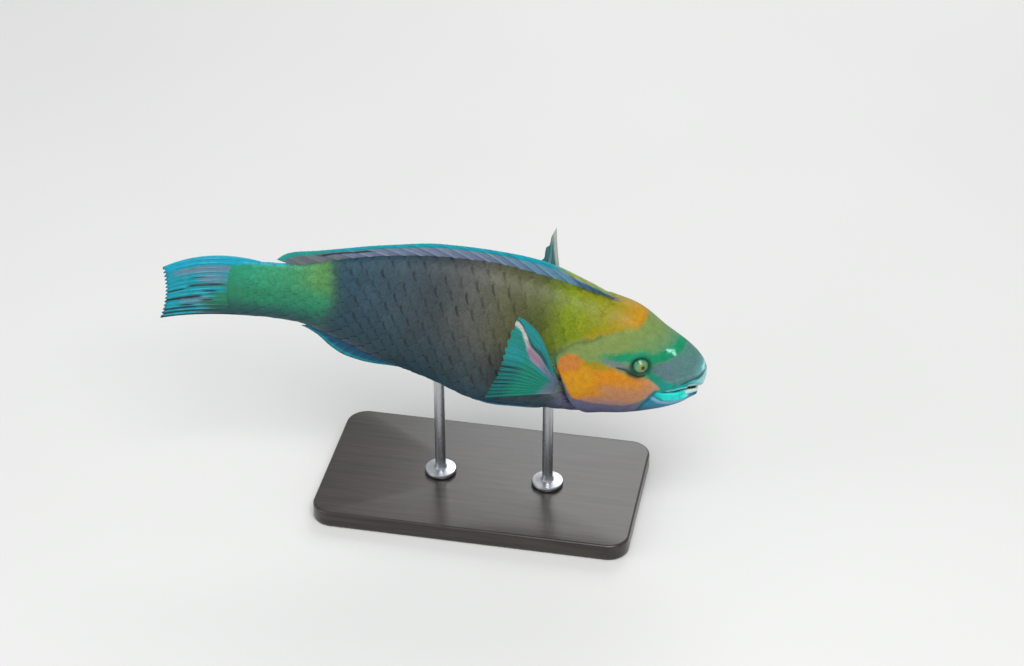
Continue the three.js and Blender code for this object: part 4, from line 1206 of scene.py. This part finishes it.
def fin_piece(
    name, place, rays, steps, sizes, tone_of, material, pose, fork=0.5, root=1.0, edge=0.6, rise=0.01,
):
    """A fin as a closed sheet: place(a, b) gives its middle surface, a across the rays and b from root to
    edge, and the two faces lie half a thickness to each side, the web's thickness plus the ray's ridge,
    thinner outwards. The ridges grow from nothing at the root to their full height at b = rise."""
    a, b = np.meshgrid(np.linspace(0, 1, rays * 10 + 1), np.linspace(0, 1, steps), indexing="ij")
    middle = place(a, b)
    along = np.gradient(middle, axis=1)
    across = np.gradient(middle, axis=0)
    normal = np.cross(across, along)
    normal /= np.maximum(np.linalg.norm(normal, axis=-1, keepdims=True), 1e-9)
    ridge = ray_ridges(a, rays, b, fork) * smooth(0, rise, b)
    web, ray = sizes.web / MM, sizes.ray / MM
    thick = mix(root, edge, b) * (web + (ray - web) * ridge)
    thick = thick * (1 - 0.55 * smooth(0.93, 1, b))
    points, faces = closed_sheet(
        middle + normal * thick[..., None] / 2, middle - normal * thick[..., None] / 2,
    )
    shown = in_world(points, pose)
    tone = tone_of(a, b, middle, ridge).reshape(-1, 3)
    uv = np.stack([a * rays, b], -1).reshape(-1, 2)
    maps = {"fin": np.concatenate([uv, uv])}
    return add_mesh(
        name, shown, turned_out(shown, faces), material, maps, np.concatenate([tone, tone]), sharp=60,
    )


ROOT_SINK = 2.2
dorsal_height = monotone([
    (58, 1.6), (66, 4), (76, 5.8), (88, 7.6), (99, 8.2), (124, 7.1), (154, 7.4), (184, 6.3), (204, 6.3),
    (227, 8.3), (235, 6.4), (240.5, 1.9),
])
anal_depth = monotone([
    (163, 1.4), (173, 3.6), (182.5, 6.5), (192, 9), (200, 10), (208, 8), (215, 4.4), (225, 2),
])
# Dark gaps between the rays of the tail fin: place across, start and end along in s, half thickness
TAIL_FIN_GAPS = (
    (0.33, 277, 284, 0.012), (0.465, 266, 286, 0.022), (0.5, 288, 297, 0.016), (0.575, 271, 278, 0.014),
    (0.62, 268, 275, 0.018), (0.66, 279, 299, 0.024), (0.735, 272, 279, 0.018), (0.8, 283, 290, 0.014),
    (0.845, 281, 299, 0.022), (0.915, 279, 300, 0.02),
)
TAIL_FIN_EDGE = [(-18, 282), (-8, 277), (-3, 270), (8, 264), (12, 260), (20, 258)]


def on_midline(s, z):
    """A place on the fish's own middle plane."""
    return np.stack([MIDDLE - s, np.zeros_like(s), z], -1)


def dorsal_place(a, b):
    """The back's outline plus a height that rises with b, swept back: s = root + sweep b."""
    root = mix(54, 227.5, a)
    sweep = mix(mix(4, 20, smooth(0, 0.12, a)), 13, smooth(0.8, 1, a))
    s = root + sweep * b
    return on_midline(s, section(s)[0] - ROOT_SINK * (1 - b) + dorsal_height(root + sweep) * b)


def anal_place(a, b):
    """The belly's outline less a depth that grows with b, swept back."""
    root = mix(158, 215, a)
    sweep = mix(5, 10, smooth(0, 0.3, a))
    s = root + sweep * b
    return on_midline(s, section(s)[1] + ROOT_SINK * (1 - b) - anal_depth(root + sweep) * b)


def tail_fin_place(a, b):
    """Each ray is a quadratic curve from the root over a bow to its tip, and the roots and tips bulge to the
    rear."""
    hump = np.sin(pi * a)
    between = 0.5 - 0.5 * np.cos(2 * pi * a * 14)
    t = b * (1 - 0.03 * (1 - between) * b * smooth(0, 0.03, a) * (1 - smooth(0.97, 1, a)))
    root = 249 + 13 * hump, mix(19.4, -16.9, a)
    bow = mix(278, 282, a), mix(26, -16.3, a) - 2.2 * hump
    tip = mix(299.8, 300, a) - 2.2 * hump, mix(13.1, -20.6, a)
    s, z = (root[i] * (1 - t) ** 2 + 2 * bow[i] * t * (1 - t) + tip[i] * t ** 2 for i in range(2))
    return on_midline(s, z)


def pectoral_place(side, reach, waist, bow):
    """Rays fan out from a short root, by turning the leading ray's direction towards the lowest ray's."""
    top = np.array([MIDDLE - 77.8, side * 20.6, -9.5])
    low = np.array([MIDDLE - 80.7, side * 19.1, -20.3])
    first = np.array(reach) * (1, side, 1)
    last = np.array((-34, 10, -5)) * (1, side, 1)
    long, short = np.linalg.norm(first), np.linalg.norm(last)
    first, last = first / long, last / short
    spread = np.arccos(first @ last)
    normal = np.cross(first, last)
    normal /= np.linalg.norm(normal)

    def place(a, b):
        turn = (spread * a)[..., None]
        direction = first * np.cos(turn) + np.cross(normal, first) * np.sin(turn)
        ahead = -np.cross(normal, direction)
        hump = np.sin(pi * a)
        length = mix(long, short, a) * (1 - waist * hump)
        notch = 0.5 + 0.5 * np.cos(2 * pi * a * 14)
        ragged = 1 - 0.035 * notch * smooth(0.03, 0.08, a) * (1 - smooth(0.95, 1, a))
        out = length * b * ragged - ROOT_SINK * (1 - b)
        forward = bow * (1 - a) * 6.75 * b * b * (1 - b)
        cup = 2 * hump * b
        root = mix(top, low, a[..., None])
        return root + direction * out[..., None] + ahead * forward[..., None] + normal * cup[..., None]

    return place


def belly_height(s, y):
    """Height of the section's underside: z = middle - (middle - bottom) (1 - |y / half|^n)^(1/n)."""
    _, bottom, half, middle = section(s)
    across = np.clip(np.abs(y) / half, 0, 1) ** SECTION_POWER
    return middle - (middle - bottom) * (1 - across) ** (1 / SECTION_POWER)


def pelvic_place(side):
    """A small fin folded back along the belly: a sheet at the belly's height less a lift that grows from the
    root at b = 0 to the edge, with rays that shorten and turn inwards as a goes from 0 to 1."""
    def place(a, b):
        s = 79 + 5 * (1 - a) + mix(38, 25, a) * b
        y = mix(mix(8.5, 13.5, b), 5.5, a)
        lift = mix(-ROOT_SINK, 0.45, smooth(0, 0.35, b)) + 0.1 * b
        return np.stack([MIDDLE - s, side * y, belly_height(s, y) - lift], -1)
    return place


class PARROTFISH_OT_fins(Operator):
    """All fins: dorsal, anal and tail fin on the middle line, and the pectoral and pelvic pairs"""
    bl_idname = "parrotfish.fins"
    bl_label = "Fins"

    def execute(self, context):
        """Each fin is the sheet of fin_piece over its own place function, painted by its own tone function of
        a, b, the middle surface and the rays' ridges."""
        scene = context.scene
        brush = Brush(scene.parrotfish_colours)
        sizes, pose = scene.parrotfish_fins, scene.parrotfish_pose
        material = fin_material()

        def dorsal_tone(a, b, middle, ridge):
            tone = brush.ramp(
                b, (0, "fin_teal"), (0.14, "fin_mauve"), (0.7, "fin_mauve"), (0.8, "fin_teal"),
                (0.92, "fin_cyan"),
                (1, "fin_teal"),
            )
            tone = brush.lay(tone, "fin_cyan", 0.3 * (1 - smooth(0.1, 0.45, a)))
            lobe = smooth(0.76, 0.9, a)
            tone = brush.lay(tone, "fin_lobe", 0.85 * lobe * (1 - smooth(0.72, 0.82, b)))
            tone = brush.lay(tone, "tail_upper", 0.6 * lobe * smooth(0.72, 0.85, b))
            # Painted shadow: a dark line along the fold of the fin's rear part.
            fold_shadow = smooth(0.69, 0.73, a) * (1 - smooth(0.86, 0.9, a))
            tone = brush.lay(tone, "dark", 0.95 * fold_shadow * np.exp(-((b - 0.62) / 0.07) ** 4))
            # Painted shade at the root of the fin's rear half, where it meets the back.
            tone = brush.lay(
                tone, "fin_navy",
                0.7 * (1 - smooth(0.86, 0.9, a)) * (1 - smooth(0.04, 0.12, b)) * smooth(0.5, 0.6, a),
            )
            front = 1 - smooth(0.07, 0.12, a)
            # Painted shade: the front of the fin is dark below its rim, where it lies in the groove.
            tone = brush.lay(tone, "fin_navy", 0.6 * front * (1 - smooth(0.5, 0.62, b)))
            return brush.lay(tone, "fin_rim", 0.85 * front * smooth(0.6, 0.72, b))

        def anal_tone(a, b, middle, ridge):
            tone = brush.ramp(
                b, (0, "low_rear"), (0.3, "fin_blue"), (0.75, "fin_blue"), (0.88, "fin_teal"),
                (1, "fin_navy"),
            )
            return brush.lay(tone, "fin_cyan", 0.3 * ridge * smooth(0.3, 0.8, b))

        def tail_fin_tone(a, b, middle, ridge):
            s, z = MIDDLE - middle[..., 0], middle[..., 2]
            wave = 0.5 + 0.5 * np.sin(a * 61 + 1.5 * np.sin(s * 0.21)) * np.sin(s * 0.33 + a * 17)
            tone = brush.lay(brush.tone("fin_teal"), "fin_cyan", 0.35 + 0.65 * wave * smooth(0.1, 0.7, ridge))
            tone = brush.lay(
                tone, "fin_mauve",
                0.6 * spot(s, z, (273, 6), (8, 4), 0.6) + 0.55 * spot(s, z, (281, -8), (9, 3), 0.6),
            )
            for place, start, end, half in TAIL_FIN_GAPS:
                along = smooth(start - 2, start + 2, s) * (1 - smooth(end - 2, end + 2, s))
                tone = brush.lay(tone, "dark", 0.95 * along * np.exp(-((a - place) / half) ** 4))
            root = brush.lay(brush.tone("tail_middle"), "tail_upper", smooth(-4, 14, z))
            root = brush.lay(root, "tail_low", 1 - smooth(-15, -6, z))
            jagged = 3 * np.sin(a * 88) + 2 * np.sin(a * 37)
            tone = brush.lay(root, tone, smooth(-4, 4, s + jagged - line(z, TAIL_FIN_EDGE)))
            tone = brush.lay(
                tone, "fin_mauve",
                0.85 * np.exp(-((a - 0.2) / 0.055) ** 2) * smooth(252, 264, s) * (1 - smooth(288, 298, s)),
            )
            tone = brush.lay(tone, "fin_cyan", (1 - smooth(0.1, 0.15, a)) * smooth(240, 250, s))
            tone = brush.lay(tone, "lip_pale", 0.5 * (1 - smooth(0.0, 0.03, a)) * smooth(250, 262, s))
            return brush.lay(tone, "fin_navy", 0.85 * smooth(0.95, 0.98, a) + 0.6 * smooth(0.965, 0.99, b))

        def pectoral_tone(pale):
            def painted(a, b, middle, ridge):
                tone = brush.lay(
                    brush.tone("fin_green"), "fin_teal", 0.3 * ridge + 0.4 * smooth(0.6, 0.95, b),
                )
                tone = brush.lay(tone, "fin_cyan", 0.25 * spot(a, b, (0.28, 0.86), (0.1, 0.16), 0.6))
                deep = 0.75 + 0.25 * np.sin(a * 19) * np.sin(a * 47)
                tone = brush.lay(
                    tone, "fin_navy",
                    deep * (1 - smooth(0.15, 0.75, ridge)) * smooth(0.62, 0.9, b) * smooth(0.3, 0.45, a),
                )
                centre = 0.19 - 0.15 * smooth(0.6, 1, b)
                half = mix(0.072, 0.016, smooth(0.5, 0.9, b))
                from_band = (a - centre) / half
                tone = brush.lay(tone, "fin_teal", 1 - smooth(-1.6, -1.2, from_band))
                tone = brush.lay(tone, "fin_cyan", 0.6 * np.exp(-((from_band - 1.35) / 0.25) ** 2))
                band = brush.ramp(
                    b, (0.1, "fin_mauve"), (0.35, "fin_mauve"), (0.5, "fin_pink"), (0.72, "fin_pink"),
                    (0.82, "fin_white"),
                )
                tone = brush.lay(tone, band, 1 - smooth(0.8, 1.1, np.abs(from_band)))
                tone = brush.lay(
                    tone, "fin_navy", 0.85 * np.exp(-((from_band + 1.35) / 0.3) ** 2) * smooth(0.2, 0.4, b),
                )
                tone = brush.lay(tone, "fin_mauve", 0.95 * (1 - smooth(0.14, 0.36, b + 0.12 * (1 - a))))
                if pale:
                    tone = brush.lay(tone, "fin_grey", 0.75)
                    tone = brush.lay(
                        tone, "fin_navy",
                        0.7 * np.exp(-((a - 0.13) / 0.035) ** 2) * (1 - smooth(0.75, 0.9, b)),
                    )
                    tone = brush.lay(tone, "fin_white", 0.75 * (1 - smooth(0.02, 0.04, a)))
                return tone
            return painted

        def pelvic_tone(a, b, middle, ridge):
            tone = brush.lay(brush.tone("belly"), "throat", 0.6 * ridge)
            return brush.lay(tone, "fin_cyan", 0.25 * (1 - smooth(0.05, 0.12, a)))

        right = pectoral_place(-1, (-22.5, 25.2, 52.8), 0.25, 4.5)
        left = pectoral_place(1, (-19, 25.5, 53), 0.34, -1.5)
        tail_shape = {"fork": 0.45, "root": 1.7, "edge": 0.5, "rise": 0.5}
        for name, replaced, slot, place, rays, steps, tone_of, shape in (
            ("dorsal_fin_skin", "dorsal_fin", "fin_dorsal", dorsal_place, 19, 22, dorsal_tone, {"fork": 0.7}),
            ("anal_fin_skin", "anal_fin", "fin_anal", anal_place, 12, 20, anal_tone, {"fork": 0.6}),
            ("tail_fin_skin", "caudal_fin", "fin_caudal", tail_fin_place, 14, 40, tail_fin_tone, tail_shape),
            (
                "pectoral_fin_right_skin", "pectoral_fin_right", "fin_pectoral", right, 14, 40,
                pectoral_tone(False),
                {"fork": 0.55},
            ),
            (
                "pectoral_fin_left_skin", "pectoral_fin_left", "fin_pectoral", left, 14, 40,
                pectoral_tone(True),
                {"fork": 0.55},
            ),
            (
                "pelvic_fin_left_skin", "pelvic_fin_left", "fin_pelvic", pelvic_place(1), 6, 24, pelvic_tone,
                {},
            ),
            (
                "pelvic_fin_right_skin", "pelvic_fin_right", "fin_pelvic", pelvic_place(-1), 6, 24,
                pelvic_tone, {},
            ),
        ):
            fin = fin_piece(name, place, rays, steps, sizes, tone_of, material, pose, **shape)
            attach(fin, "root")
            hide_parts(replaced)
        return {"FINISHED"}


BASE_CORNER, BASE_EDGE = 12, 1.5
# Radius of a rod at heights over its foot: a flange, a short neck and the plain rod
ROD_PROFILE = [
    (8.2, 0), (8.8, 0.2), (9, 0.6), (9, 1.7), (8.7, 2.3), (8, 2.5), (4.6, 2.6), (3.6, 3), (3.15, 4), (3, 6),
    (3, 40),
]


def turned_profile(centre, radii, heights, sides=48):
    """Points of a profile turned about a vertical line, from (radius, height) pairs."""
    around = np.arange(sides) / sides * 2 * pi
    ring = np.stack([np.cos(around), np.sin(around)], -1)
    flat = np.array(radii)[:, None, None] * ring + np.array(centre)
    return np.concatenate([flat, np.broadcast_to(np.array(heights)[:, None, None], (*flat.shape[:2], 1))], -1)


class PARROTFISH_OT_stand(Operator):
    """Display stand: a flat base with rounded corners and edges, and two turned rods"""
    bl_idname = "parrotfish.stand"
    bl_label = "Stand"

    def execute(self, context):
        """The base is a rounded rectangle carried round a quarter-circle edge. A rod is a profile turned
        about its axis, cut off at the belly that it carries."""
        low, high = (np.array(corner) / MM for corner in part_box("stand_base"))
        centre = (low + high) / 2
        half = (high - low)[:2] / 2
        corner, edge = BASE_CORNER, BASE_EDGE
        around = np.arange(128) / 128 * 2 * pi + pi / 128
        quarter = np.stack([np.sign(np.cos(around)), np.sign(np.sin(around))], -1)
        fall = np.linspace(0, pi / 2, 7)
        inset = np.concatenate([edge * (1 - np.sin(fall)), edge * (1 - np.cos(fall))])
        height = np.concatenate([edge * (1 - np.cos(fall)), high[2] - edge * (1 - np.sin(fall))])
        outline = quarter * (half - corner) + np.stack(
            [np.cos(around), np.sin(around)], -1,
        ) * (corner - inset)[:, None, None]
        rings = np.concatenate(
            [outline + centre[:2], np.broadcast_to(height[:, None, None], (*outline.shape[:2], 1))], -1,
        )
        points, faces = capped(rings)
        base = add_mesh("base_board", points * MM, faces, stained_wood(), sharp=50)
        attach(base, "root")
        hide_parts("stand_base")
        steel = brushed_steel()
        for name in ("stand_rod_front", "stand_rod_rear"):
            rod_low, rod_high = (np.array(corner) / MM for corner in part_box(name))
            middle = (rod_low + rod_high)[:2] / 2
            radii, heights = np.array(ROD_PROFILE).T
            rings = turned_profile(
                middle, np.append(radii, radii[-1]), np.append(rod_low[2] + heights, rod_high[2]),
            )
            rings[-1, :, 2] = self.belly_over(
                rings[-1, :, 0], rings[-1, :, 1], rod_high[2], context.scene.parrotfish_pose,
            )
            points, faces = capped(rings)
            rod = add_mesh(name.replace("stand_", "steel_"), points * MM, faces, steel, sharp=40)
            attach(rod, "root")
            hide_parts(name)
        return {"FINISHED"}

    def belly_over(self, x, y, start, pose):
        """Height in the frame of the belly over each point, by turning back the nose's dip a few times."""
        low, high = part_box("stand_base")
        x = x - ((low.x + high.x) / 2 / MM - BASE_AHEAD)
        z = np.full(x.shape, float(start))
        dip_cos, dip_sin = cos(pose.nose_down), sin(pose.nose_down)
        for _ in range(6):
            up = z - MIDDLE_HEIGHT
            straight = x * dip_cos - up * dip_sin
            belly = belly_height(MIDDLE - straight, y) - 0.3
            z = MIDDLE_HEIGHT - straight * dip_sin + belly * dip_cos
        return z


FLOOR_REACH = 4.0
# Name, place and width in metres, and power in watts
LIGHTS = (
    ("key_light", (0.35, -0.75, 1.35), 0.9, 17),
    ("fill_light", (-1.3, -0.9, 0.7), 1.2, 7),
    ("rim_light", (0.1, 1.3, 1.0), 0.9, 8),
)
# Degrees, millimetres and, for the distance, metres
VIEW = {
    "ahead": 11, "above": 34, "lens": 85, "sensor": 36, "aim_ahead": 40.76, "aim_down": 8.25,
    "distance": 1.3257,
}


class PARROTFISH_OT_stage(Operator):
    """Pale floor, soft studio lights and the camera"""
    bl_idname = "parrotfish.stage"
    bl_label = "Stage"

    def execute(self, context):
        scene = context.scene
        reach = FLOOR_REACH
        floor_points = [(-reach, -reach, 0), (reach, -reach, 0), (reach, reach, 0), (-reach, reach, 0)]
        floor = add_mesh("floor", floor_points, [(0, 1, 2, 3)], pale_floor())
        low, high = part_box("stand_base")
        middle = Vector(((low.x + high.x) / 2 - BASE_AHEAD * MM, 0, MIDDLE_HEIGHT * MM))
        for name, place, width, power in LIGHTS:
            light = bpy.data.lights.new(name, "AREA")
            light.size = width
            light.energy = power
            lamp = bpy.data.objects.new(name, light)
            lamp.location = place
            lamp.rotation_euler = (middle - Vector(place)).to_track_quat("-Z", "Y").to_euler()
            context.collection.objects.link(lamp)
        world = bpy.data.worlds.new("soft_room")
        world.use_nodes = True
        sky = world.node_tree.nodes["Background"]
        sky.inputs["Color"].default_value = (0.86, 0.88, 0.9, 1)
        sky.inputs["Strength"].default_value = 0.6
        scene.world = world
        scene.view_settings.view_transform = "Standard"
        self.add_camera(scene, middle)
        return {"FINISHED"}

    def add_camera(self, scene, middle):
        """An 85 mm lens, placed by the outline of the fish: ahead of the side view and above it."""
        ahead, above = radians(VIEW["ahead"]), radians(VIEW["above"])
        back = Vector((sin(ahead) * cos(above), -cos(ahead) * cos(above), sin(above)))
        right = Vector((cos(ahead), sin(ahead), 0))
        target = middle + right * VIEW["aim_ahead"] * MM - back.cross(right) * VIEW["aim_down"] * MM
        camera = bpy.data.cameras.new("camera")
        camera.lens = VIEW["lens"]
        camera.sensor_width = VIEW["sensor"]
        view = bpy.data.objects.new("camera", camera)
        view.location = target + back * VIEW["distance"]
        view.rotation_euler = (-back).to_track_quat("-Z", "Y").to_euler()
        scene.collection.objects.link(view)
        scene.camera = view


class PARROTFISH_PT_panel(Panel):
    """Sizes, colours and the steps that build the model"""
    bl_idname = "PARROTFISH_PT_panel"
    bl_label = "Parrotfish"
    bl_space_type = "VIEW_3D"
    bl_region_type = "UI"
    bl_category = "Parrotfish"

    def draw(self, context):
        layout = self.layout
        for group in SETTINGS:
            settings = getattr(context.scene, group)
            for key in settings.bl_rna.properties.keys():
                if key not in ("rna_type", "name"):
                    layout.prop(settings, key)
        for step in STEPS:
            layout.operator(step.bl_idname)


SETTINGS = {
    "parrotfish_pose": ParrotfishPose,
    "parrotfish_scales": ParrotfishScales,
    "parrotfish_fins": ParrotfishFins,
    "parrotfish_colours": ParrotfishColours,
}
STEPS = (
    PARROTFISH_OT_stage, PARROTFISH_OT_skin, PARROTFISH_OT_scales, PARROTFISH_OT_eyes, PARROTFISH_OT_beak,
    PARROTFISH_OT_fins, PARROTFISH_OT_stand,
)


def register():
    for group in SETTINGS.values():
        bpy.utils.register_class(group)
    for step in (*STEPS, PARROTFISH_PT_panel):
        bpy.utils.register_class(step)
    for name, group in SETTINGS.items():
        setattr(bpy.types.Scene, name, PointerProperty(type=group))


def unregister():
    for name in SETTINGS:
        delattr(bpy.types.Scene, name)
    for item in (PARROTFISH_PT_panel, *reversed(STEPS), *SETTINGS.values()):
        bpy.utils.unregister_class(item)


def main():
    """Builds the whole model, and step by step."""
    register()
    for step in STEPS:
        family, name = step.bl_idname.split(".")
        getattr(getattr(bpy.ops, family), name)()


if __name__ == "__main__":
    main()
